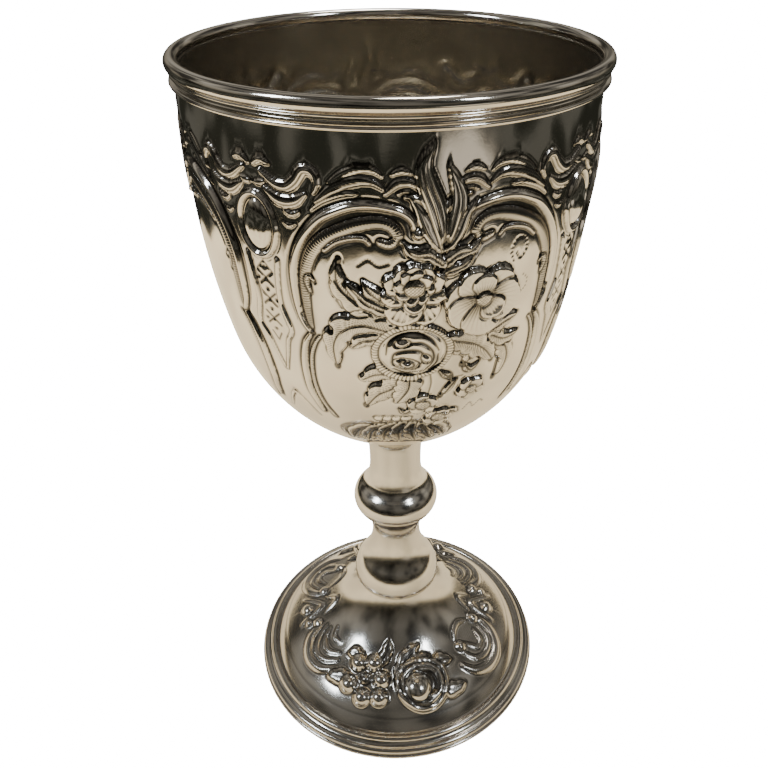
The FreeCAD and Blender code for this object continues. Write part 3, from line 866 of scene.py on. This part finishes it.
footLeaves = [  # spine, width, height, taper, lobes
    ([(0, 21), (4, 16.8), (11, 14.0), (20, 12.6)], 3.6, 0.9, (0.6, 1.1, 0.1), 3),
    ([(4, 19), (14, 16.4), (26, 16.2)], 3.2, 0.9, (0.6, 1.1, 0.1), 3),
    ([(-12, 17), (-9, 14), (-8, 10.6)], 3.0, 0.85, (0.7, 1.1, 0.1), 2),
    ([(24, 19.5), (31, 18.6), (39, 19.8)], 3.6, 0.9, (0.6, 1.1, 0.1), 3),
    ([(23, 25), (30, 26.4), (38, 26.6)], 3.6, 0.9, (0.6, 1.1, 0.1), 3),
    ([(-29, 23), (-35, 23.6), (-42, 25.2)], 3.8, 0.9, (0.6, 1.1, 0.1), 3),
    ([(-27, 17.5), (-33, 16.4), (-39, 17.6)], 3.2, 0.85, (0.6, 1.1, 0.1), 2)]

footScrolls = [  # left and right of the garland: points, width, height
    ([(-40, 22.5), (-48, 25.2), (-58, 25.4), (-67, 23), (-73, 19.2), (-76, 19.2), (-78, 21)], 2.9, 0.83),
    ([(-42, 20.5), (-50, 22.8), (-58, 22.8), (-65, 20.2), (-70, 17)], 1.4, 0.6),
    ([(-44, 18.8), (-52, 20.4), (-60, 19.6), (-66, 16.4)], 1.4, 0.52),
    ([(-48, 16.6), (-56, 16.8), (-62, 14.6)], 1.2, 0.38),
    ([(42, 23), (47, 26.2), (56, 28), (66, 27.4), (74, 24), (78, 20), (77, 17)], 2.9, 0.83),
    ([(48, 20), (52, 24), (60, 25.4), (68, 24.2), (73, 20.4)], 1.4, 0.6),
    ([(54, 19), (58, 22.4), (64, 22.4), (68, 19.4)], 1.3, 0.52),
    ([(50, 16.6), (56, 14.8), (64, 14.6), (71, 16.4)], 1.6, 0.52),
    ([(-80, 24.5), (-85, 20), (-90, 17.6), (-95, 20), (-99, 24.6)], 1.9, 0.68),
    ([(-82, 17), (-86, 13.8), (-90, 12.8), (-94, 13.8), (-98, 17)], 1.6, 0.52)]

footBalls = [(-76, 19.4, 1.5), (-78, 22, 1.1), (50, 19, 1.5), (76, 18.4, 1.5), (-90, 22.4, 1.8)]
rosetteBalls = [(-28, 18.4), (-17, 17.2), (-10, 21), (-10, 25.4), (-19, 26.2), (-28.4, 24.2)]

# the rosebud: outer petals, three rings about a hollow, and the smooth ball at its side
rosebud = dict(petals=[(turn * 60, 5.8, 5.6) for turn in range(6)],
               rings=((6.6, 0.9), (5.2, 0.8), (3.8, 0.7)))

# the scratched ground: degrees from the front where it starts and is full, and its level and half height
footGround = dict(start=52, full=72, level=20, half=9, hatch=0.45, dark=0.22, band=30.2)


def chaseFoot(work):
    for points, width, height in footScrolls:
        work.ridge(points, width, height, (0.5, 1, 0.5), edge=0.8, hatch=0.25)
    for out, down, size in footBalls:
        work.egg((out, down), (size, size), 1.1)
    for spine, width, height, taper, lobes in footLeaves:
        work.leaf(spine, width, height, taper, lobes, shade=0.6)
    for out, down in rosetteBalls:
        work.egg((out, down), (2.3, 2.2), 1.9, edge=0.9)
    work.egg((-19.8, 21.6), (1.5, 1.5), 1.1, dark=0.5)
    work.flower((13.5, 22.4), rosebud["petals"], 1.2, 1.0, 15, 0.5)
    outermost = rosebud["rings"][0][0]
    for size, width in rosebud["rings"]:
        work.loop((14.6, 22.6), (size, size * 0.92), width, 1.5 + (outermost - size) * 0.12)
    work.egg((18.4, 22.6), (2.0, 2.6), 0.9, dark=0.75)
    work.egg((11.6, 23.2), (3.4, 3.6), 2.5, 12)
    # a scratched ground between the scrolls at the sides, and a chased line below the band
    down = work.along[:, None]
    fromFront = np.abs((work.angle + period / 2) % period - period / 2)[None, :]
    aside = np.clip((fromFront - footGround["start"]) / (footGround["full"] - footGround["start"]), 0, 1)
    belt = np.clip(1.2 - np.abs(down - footGround["level"]) / footGround["half"], 0, 1)
    ground = np.where(work.height < 0.05, belt, 0) * aside
    work.hatch = np.maximum(work.hatch, footGround["hatch"] * ground)
    work.dark = np.maximum(work.dark, footGround["dark"] * ground)
    work.run = np.where(ground > 0, down + 0.02 * work.angle[None, :], work.run)
    work.groove(np.s_[:, :], np.abs(down - footGround["band"]) + 0 * work.height, 0.3, 0.07, 0.4)


# walls that carry the chasing

class Outline:
    # an outline walked from its top: its place and outward normal at each distance along it
    def __init__(self, corners):
        points = outlinePoints(corners, 0.1)[::-1]
        steps = np.hypot(*np.diff(points, axis=0).T)
        self.passed = np.concatenate([[0], np.cumsum(steps)])
        self.points = points
        way = np.gradient(points, self.passed, axis=0)
        way /= np.hypot(*way.T)[:, None]
        self.normal = np.stack([-way[:, 1], way[:, 0]], 1)

    def at(self, along):
        place = [np.interp(along, self.passed, self.points[:, axis]) for axis in (0, 1)]
        normal = [np.interp(along, self.passed, self.normal[:, axis]) for axis in (0, 1)]
        return np.stack(place, 1), np.stack(normal, 1)


def carried(place, normal, height, angle):
    # the outline's point moved out along its normal by the height, then carried round to the angle
    across = place[:, :1] + normal[:, :1] * height
    up = place[:, 1:] + normal[:, 1:] * height
    turn = np.radians(angle)[None, :]
    return np.stack([across * np.sin(turn), -across * np.cos(turn), up + 0 * turn], -1)


def surfaceNormals(points):
    # the cross product of the steps down and round, which points outwards
    down, sideways = np.gradient(points, axis=0), np.gradient(points, axis=1)
    normal = np.cross(down, sideways)
    return normal / np.maximum(np.linalg.norm(normal, axis=-1, keepdims=True), 1e-12)


def wallSector(name, work, outer, inner, reverse, sector, level, finishes, node):
    # the outer face on the full grid, the inner face on every second row and column, and four narrow edges
    fromColumn, count, stride = sector
    columns = fromColumn + np.arange(-stride, count + 2 * stride, stride)
    pick = columns % len(work.angle)
    angle = work.angle[0] + columns * period / len(work.angle)
    outside = carried(*outer, work.height[:, pick], angle)
    inside = carried(*inner, reverse[:, pick], angle)
    outsideNormals, insideNormals = surfaceNormals(outside)[:, 1:-1], -surfaceNormals(inside)[:, 1:-1]
    outside, inside = outside[:, 1:-1], inside[:, 1:-1][::2, ::2]
    insideNormals = insideNormals[::2, ::2]
    rows, across = outside.shape[:2]
    innerRows, innerAcross = inside.shape[:2]
    outerIndex = np.arange(rows * across).reshape(rows, across)
    innerIndex = rows * across + np.arange(innerRows * innerAcross).reshape(innerRows, innerAcross)

    def edge(outerLine, innerLine, turned):
        faces = np.stack([outerLine[0:-2:2], outerLine[1:-1:2], outerLine[2::2],
                          innerLine[1:], innerLine[:-1]], 1)
        return faces[:, ::-1] if turned else faces

    edges = [edge(outerIndex[0], innerIndex[0], False), edge(outerIndex[-1], innerIndex[-1], True),
             edge(outerIndex[:, 0], innerIndex[:, 0], True),
             edge(outerIndex[:, -1], innerIndex[:, -1], False)]
    faceSets = [gridFaces(rows, across)[:, ::-1], gridFaces(innerRows, innerAcross) + rows * across,
                np.concatenate(edges)]
    points = np.concatenate([outside.reshape(-1, 3), inside.reshape(-1, 3)]) + np.array([0, 0, level])
    normals = np.concatenate([outsideNormals.reshape(-1, 3), insideNormals.reshape(-1, 3)])
    values = {}
    # the darkness field is oxide tarnish together with painted shade
    for key, field in (("oxideAndShade", work.dark), ("hatchAmount", work.hatch), ("hatchRun", work.run)):
        seen = field[:, pick][:, 1:-1].ravel()
        values[key] = np.concatenate([seen, np.zeros(inside.shape[0] * inside.shape[1])])
    material, lining = finishes
    return makePiece(name, points, faceSets, material, node, normals, values, lining)


def chasedSilver(name, gloss, bloom, scratch, bright="bright", warm="warm"):
    # worn silver whose recesses keep their dark tarnish, with painted shade in the hollows and on the leaves,
    # and whose tooled areas carry fine strokes
    material = wornSilver(name, gloss, bloom, scratch, bright=bright, warm=warm)
    tree = material.node_tree
    shader = tree.nodes["Principled BSDF"]
    oxideAndShade = addNode(tree, "ShaderNodeAttribute", dict(attribute_name="oxideAndShade")).outputs["Fac"]
    amount = addNode(tree, "ShaderNodeAttribute", dict(attribute_name="hatchAmount")).outputs["Fac"]
    run = addNode(tree, "ShaderNodeAttribute", dict(attribute_name="hatchRun")).outputs["Fac"]
    wave = mathNode(tree, "SINE", mathNode(tree, "MULTIPLY", run, 2 * math.pi / fine["toolStroke"]))
    stroke = mathNode(tree, "MULTIPLY", rescale(tree, wave, -0.2, 1, 0, 1), amount)
    # the darkening is oxide tarnish and painted shade together, with the tool strokes
    tarnishAndShade = mathNode(tree, "MAXIMUM", mathNode(tree, "POWER", oxideAndShade, 1.05),
                       mathNode(tree, "MULTIPLY", stroke, 0.8), True)
    colour = shader.inputs["Base Color"].links[0].from_socket
    rough = shader.inputs["Roughness"].links[0].from_socket
    bump = shader.inputs["Normal"].links[0].from_socket
    tree.links.new(blendColour(tree, tarnishAndShade, colour, silverLook["oxide"]), shader.inputs["Base Color"])
    tree.links.new(multiplyAdd(tree, tarnishAndShade, 0.08, rough), shader.inputs["Roughness"])
    carved = addNode(tree, "ShaderNodeBump", dict(invert=True), Strength=0.5, Distance=0.0001, Height=stroke,
                     Normal=bump)
    tree.links.new(carved.outputs[0], shader.inputs["Normal"])
    return material


# degrees where the columns start and columns in half a turn; sectors are a first column, a count and a
# stride, and the back half is on every second column
bowl = dict(shape=[(6.6, 0), (20.2, 9.4, 86.7, bend), (35.0, 33.4, 44.9, bend), (39.4, 70.8, 161.0, bend),
                   (39.4, 85.4)],
            wall=0.8, first=-79.5, columns=800, chased=(8.0, 72.0), pitch=0.215, plainPitch=0.55,
            bottomFrom=14.0, floorRings=8, floorAround=192,
            sectors=[(0, 200, 1), (200, 200, 1), (400, 200, 1), (600, 200, 1),
                     (800, 400, 2), (1200, 400, 2)],
            tarnishAndShadeHollows=dict(rows=3, columns=4, amount=1.6), reverse=dict(down=3, sides=4, gain=1.1),
            finish=dict(gloss=0.07, bloom=0.06, scratch=0.02),
            lining=dict(gloss=0.22, bloom=0.04, scratch=0.04, warmth=0.6, bright="lining", warm="liningWarm"))


def evenRows(stops, pitches):
    # distances along the outline between the stops, each stretch at its own pitch, an odd number in all
    rows = [np.zeros(1)]
    for start, end, pitch in zip(stops[:-1], stops[1:], pitches):
        count = 2 * max(int(round((end - start) / pitch / 2)), 1)
        rows.append(np.linspace(start, end, count + 1)[1:])
    return np.concatenate(rows)


def makeBowl():
    walk = Outline(bowl["shape"])
    top, foot = bowl["chased"]
    pitches = [bowl["plainPitch"], bowl["pitch"], bowl["plainPitch"]]
    along = evenRows([0, top, foot, walk.passed[-1]], pitches)
    place, normal = walk.at(along)
    work = Chasing(bowl["first"], bowl["columns"], along, place[:, 0])
    for middle in panelMiddles:
        chaseFrame(work, middle)
    for middle in strapMiddles:
        chaseStrap(work, middle)
    chaseBouquet(work)
    work.tarnishAndShadeHollows(**bowl["tarnishAndShadeHollows"])
    say("bowl chased")
    work.height = softened(work.height, 1, 1) * 0.7 + softened(work.height, 0, 1) * 0.3
    reverse = reverseOf(work.height, bowl["wall"], **bowl["reverse"])
    # the inner face keeps the wall's thickness, and near the stem it closes in one shallow ball-shaped round
    innerPlace = place - normal * bowl["wall"]
    turning = np.argmin(np.abs(place[:, 0] - bowl["bottomFrom"]))
    edgeAcross, edgeUp = innerPlace[turning]
    ballRadius = edgeAcross / abs(normal[turning, 0])

    def roundHeight(across):
        # how far the ball's face lies from its middle plane at a distance from the axis
        return np.sqrt(np.maximum(ballRadius ** 2 - across ** 2, 0))

    across = edgeAcross * place[:, 0] / place[turning, 0]
    roundUp = edgeUp + roundHeight(edgeAcross) - roundHeight(np.minimum(across, edgeAcross))
    low = np.arange(len(along)) >= turning
    innerPlace = np.where(low[:, None], np.stack([across, roundUp], 1), innerPlace)
    finish = chasedSilver("chasedSilver", **bowl["finish"])
    # the inner face is darker than the outside, partly as painted shade
    lining = wornSilver("bowlLining", **bowl["lining"])
    level = nodeHeights("bowl")[0]
    for index, sector in enumerate(bowl["sectors"]):
        wallSector(f"bowl_wall_{index + 1}", work, (place, normal), (innerPlace, normal), reverse,
                   sector, level, (finish, lining), "bowl")
    # the floor of the bowl, a disc that closes the round
    radii = np.linspace(0, 1, bowl["floorRings"] + 1)[1:]
    under = np.stack([radii * place[-1, 0], 0 * radii], 1)
    innerAcross, innerUp = innerPlace[-1]
    over = radii[::-1] * innerAcross
    top = np.stack([over, innerUp - roundHeight(over) + roundHeight(innerAcross)], 1)
    makeDisc("bowl_floor", np.concatenate([under, top]), lining, "bowl", level,
             bowl["floorAround"])


def makeDisc(name, ring, material, node, level, segments):
    # a solid disc: its outline runs from beside the middle of the underside to beside the middle on top
    hubs = [(0, 0, ring[0, 1]), (0, 0, ring[-1, 1])]
    points = np.vstack([carriedRound(ring, segments), hubs]) + np.array([0, 0, level])
    column = np.arange(segments)
    after = (column + 1) % segments
    last, hub = (len(ring) - 1) * segments, len(ring) * segments
    fans = np.concatenate([np.stack([after, column, 0 * column + hub], 1),
                           np.stack([last + column, last + after, 0 * column + hub + 1], 1)])
    return makePiece(name, points, [gridFaces(len(ring), segments, False, True), fans], material, node)


dome = dict(shape=[(34.65, 0), (24.0, 8.0, 23.1, bend), (9.8, 22.1, 23.8, hollow)], wall=0.9, first=-90.0,
            columns=400, pitch=0.2, rodHole=2.15, step=0.15, crownAround=192,
            tarnishAndShadeHollows=dict(rows=3, columns=3, amount=1.2), reverse=dict(down=3, sides=3, gain=1.0),
            finish=dict(gloss=0.15, bloom=0.04, scratch=0.03, bright="grey", warm="greyWarm"),
            lining=dict(gloss=0.30, bloom=0.12, scratch=0.05, warmth=0.8, bright="lining", warm="liningWarm"))


def makeDome():
    walk = Outline(dome["shape"])
    along = evenRows([0, walk.passed[-1]], [dome["pitch"]])
    place, normal = walk.at(along)
    work = Chasing(dome["first"], dome["columns"], along, place[:, 0])
    chaseFoot(work)
    work.tarnishAndShadeHollows(**dome["tarnishAndShadeHollows"])
    work.height = softened(work.height, 2, 2)
    reverse = reverseOf(work.height, dome["wall"], **dome["reverse"])
    finish = chasedSilver("footSilver", **dome["finish"])
    lining = wornSilver("footLining", **dome["lining"])
    level = nodeHeights("foot_dome")[0]
    innerPlace = place - normal * dome["wall"]
    seat, seatUp = place[0]
    under = seatUp - dome["wall"]
    innerPlace[0] = (seat - dome["step"], under)
    innerPlace[-1] = (place[-1, 0] - dome["wall"] * 1.1, place[-1, 1])
    for index in (0, 1):
        sector = (index * dome["columns"], dome["columns"], 1)
        wallSector(f"foot_dome_{index + 1}", work, (place, normal), (innerPlace, normal), reverse,
                   sector, level, (finish, lining), "foot_dome")
    crown = np.array([(dome["rodHole"], under), (seat - dome["step"], under), (seat, seatUp),
                      (dome["rodHole"], seatUp)])
    turnedPiece("foot_crown", crown + np.array([0, level]), finish, "foot_dome",
                dome["crownAround"])


makeBowl()
say("bowl raised")
makeDome()
say("foot raised")


# the studio

# places and sizes in metres
studio = dict(
    tableTop=-0.0003, floorHalf=3.0, table=(0.56, 0.48, 0.35, 1),
    paleReach=0.297, tableMiddle=(0, 0.035, 0),
    tableGlow=(0.82, 0.69, 0.43, 1), tableShade=(0.60, 0.505, 0.315, 1),
    # where the painted shadow round the foot fades out, and its colour
    shadeReach=(0.045, 0.120), underCup=(0.07, 0.062, 0.048, 1),
    paper=(0.285, -0.37, 0), paperReach=(0.11, 0.145), paperGlow=(0.62, 0.56, 0.46, 1),
    roomGlow=(0.014, 0.0145, 0.0105, 1), roomPatch=(0.085, 0.083, 0.070, 1),
    roomFloor=(0.006, 0.006, 0.005, 1),
    roomColours=[  # share of the way from below to above, colour
        (0.0, (0.03, 0.03, 0.024, 1)), (0.5, (0.04, 0.038, 0.03, 1)), (0.56, (0.16, 0.145, 0.115, 1)),
        (0.70, (0.29, 0.275, 0.24, 1)), (1.0, (0.17, 0.16, 0.14, 1))],
    backdrop=(1, 1, 1, 1), backdropStrength=18.0)


def distanceFrom(tree, place, centre):
    away = addNode(tree, "ShaderNodeVectorMath", dict(operation="SUBTRACT"), in0=place, in1=centre)
    length = addNode(tree, "ShaderNodeVectorMath", dict(operation="LENGTH"), in0=away.outputs[0])
    return length.outputs["Value"]


def makeFloor():
    # the table and floor as the metal sees them, painted as glowing light: a pale table top, a sheet of paper
    # and a dark room
    half, low = studio["floorHalf"], studio["tableTop"]
    mesh = bpy.data.meshes.new("studio_floor")
    corners = [(-half, -half, low), (half, -half, low), (half, half, low), (-half, half, low)]
    mesh.from_pydata(corners, [], [(0, 1, 2, 3)])
    floor = bpy.data.objects.new("studio_floor", mesh)
    bpy.context.scene.collection.objects.link(floor)
    material, tree, shader = newMaterial("paleFloor")
    shader.inputs["Base Color"].default_value = (0.9, 0.9, 0.9, 1)
    shader.inputs["Roughness"].default_value = 0.9
    place = addNode(tree, "ShaderNodeTexCoord").outputs["Object"]
    uneven = multiplyAdd(tree, noise(tree, place, 9.0, 2.0), 0.10, -0.05)
    wide = mathNode(tree, "ADD", distanceFrom(tree, place, studio["tableMiddle"]), uneven)
    far = rescale(tree, wide, studio["paleReach"] - 0.004, studio["paleReach"] + 0.006, 0.0, 1.0)
    clothShade = rescale(tree, noise(tree, place, 14.0, 1.0), 0.40, 0.62, 0.0, 1.0)
    roomShade = rescale(tree, noise(tree, place, 5.5, 1.0), 0.50, 0.56, 0.0, 1.0)
    near = blendColour(tree, clothShade, studio["tableGlow"], studio["tableShade"])
    # painted shadow: the table darkens towards the foot as if the cup shaded it
    shadow = rescale(tree, distanceFrom(tree, place, (0, 0, 0)), *studio["shadeReach"], 0.45, 0.0)
    near = blendColour(tree, shadow, near, studio["underCup"])
    beyond = blendColour(tree, roomShade, studio["roomGlow"], studio["roomPatch"])
    apart = mathNode(tree, "ADD", distanceFrom(tree, place, studio["paper"]), uneven)
    sheet = rescale(tree, apart, *studio["paperReach"], 1.0, 0.0)
    glowing = blendColour(tree, sheet, blendColour(tree, far, near, beyond), studio["paperGlow"])
    # the table, the paper and the room glow by their own colour: painted light for the metal to reflect
    light = addNode(tree, "ShaderNodeEmission", None, Strength=1.0, Color=glowing)
    lit = addNode(tree, "ShaderNodeBsdfDiffuse", None,
                  Color=blendColour(tree, far, studio["table"], studio["roomFloor"]))
    glow = addNode(tree, "ShaderNodeAddShader", None, in0=light.outputs[0], in1=lit.outputs[0])
    # the camera sees a plain white ground instead
    plain = addNode(tree, "ShaderNodeEmission", None, Color=studio["backdrop"],
                    Strength=studio["backdropStrength"])
    seen = addNode(tree, "ShaderNodeAddShader", None, in0=plain.outputs[0], in1=shader.outputs[0])
    path = addNode(tree, "ShaderNodeLightPath")
    mix = addNode(tree, "ShaderNodeMixShader", None, in0=path.outputs["Is Camera Ray"], in1=glow.outputs[0],
                  in2=seen.outputs[0])
    # seen from below the table is clear, so the underside of the foot shows
    turned = addNode(tree, "ShaderNodeNewGeometry").outputs["Backfacing"]
    clear = addNode(tree, "ShaderNodeBsdfTransparent")
    whole = addNode(tree, "ShaderNodeMixShader", None,
                    in0=mathNode(tree, "MULTIPLY", turned, path.outputs["Is Camera Ray"]), in1=mix.outputs[0],
                    in2=clear.outputs[0])
    tree.links.new(whole.outputs[0], tree.nodes["Material Output"].inputs["Surface"])
    mesh.materials.append(material)


def makeRoom():
    # walls and ceiling for the metal to reflect, darker on the viewer's side, and white for the camera
    world = bpy.data.worlds.new("studioRoom")
    bpy.context.scene.world = world
    world.use_nodes = True
    tree = world.node_tree
    tree.nodes.clear()
    way = addNode(tree, "ShaderNodeTexCoord").outputs["Generated"]
    parts = addNode(tree, "ShaderNodeSeparateXYZ", None, Vector=way)
    ramp = addNode(tree, "ShaderNodeValToRGB", None, Fac=rescale(tree, parts.outputs["Z"], -1, 1, 0, 1))
    stops = studio["roomColours"]
    bar = ramp.color_ramp.elements
    bar[0].position, bar[0].color = stops[0]
    bar[1].position, bar[1].color = stops[-1]
    for position, colour in stops[1:-1]:
        bar.new(position).color = colour
    shade = rescale(tree, noise(tree, way, 2.6, 3.0), 0.40, 0.58, 0.12, 1.35)
    side = rescale(tree, parts.outputs["Y"], -0.75, 0.35, 0.34, 1.05)
    room = blendColour(tree, 1.0, ramp.outputs[0], mathNode(tree, "MULTIPLY", shade, side), "MULTIPLY")
    dim = addNode(tree, "ShaderNodeBackground", None, Color=room, Strength=1.0)
    white = addNode(tree, "ShaderNodeBackground", None, Color=studio["backdrop"],
                    Strength=studio["backdropStrength"])
    path = addNode(tree, "ShaderNodeLightPath")
    mix = addNode(tree, "ShaderNodeMixShader", None, in0=path.outputs["Is Camera Ray"], in1=dim.outputs[0],
                  in2=white.outputs[0])
    out = addNode(tree, "ShaderNodeOutputWorld")
    tree.links.new(mix.outputs[0], out.inputs["Surface"])


# a hidden lamp lights the cup but shows in no reflection
lamps = [dict(name="window_left", size=(0.22, 0.34), at=(-0.75, -0.30, 0.85), power=3.0,
              colour=(0.82, 0.91, 1.0)),
         dict(name="window_right", size=(0.16, 0.26), at=(0.62, -0.55, 0.95), power=2.0,
              colour=(0.86, 0.93, 1.0)),
         dict(name="ceiling_panel", size=(0.30, 0.30), at=(0.12, 0.35, 1.3), power=3.5,
              colour=(1.0, 0.95, 0.88)),
         dict(name="key_soft", size=(0.35, 0.35), at=(-0.55, 0.60, 0.95), power=13, colour=(1.0, 0.95, 0.88),
              hidden=True)]


def makeLamps():
    aim = Vector((0, 0, 0.09))
    for lamp in lamps:
        light = bpy.data.lights.new(lamp["name"], "AREA")
        light.shape = "RECTANGLE"
        light.size, light.size_y = lamp["size"]
        light.energy = lamp["power"]
        light.color = lamp["colour"]
        holder = bpy.data.objects.new(lamp["name"], light)
        bpy.context.scene.collection.objects.link(holder)
        holder.location = lamp["at"]
        holder.visible_glossy = not lamp.get("hidden", False)
        holder.rotation_euler = (aim - Vector(lamp["at"])).to_track_quat("-Z", "Y").to_euler()


# metres behind and above the foot's centre, degrees, and the lens in millimetres
view = dict(back=0.15464, up=0.19334, downward=32.405, aside=-1.251, roll=0.044, lens=37.06, sensor=36.0,
            nearest=0.005, shift=(-0.0323, -0.0292))


def makeCamera():
    camera = bpy.data.cameras.new("studio_camera")
    camera.lens, camera.sensor_width = view["lens"], view["sensor"]
    camera.shift_x, camera.shift_y = view["shift"]
    camera.clip_start = view["nearest"]
    holder = bpy.data.objects.new("studio_camera", camera)
    bpy.context.scene.collection.objects.link(holder)
    turn = (Matrix.Rotation(math.radians(view["aside"]), 4, "Z")
            @ Matrix.Rotation(math.radians(90 - view["downward"]), 4, "X")
            @ Matrix.Rotation(math.radians(view["roll"]), 4, "Z"))
    holder.matrix_world = Matrix.Translation((0, -view["back"], view["up"])) @ turn
    bpy.context.scene.camera = holder


makeFloor()
makeRoom()
makeLamps()
makeCamera()
say("studio lit")
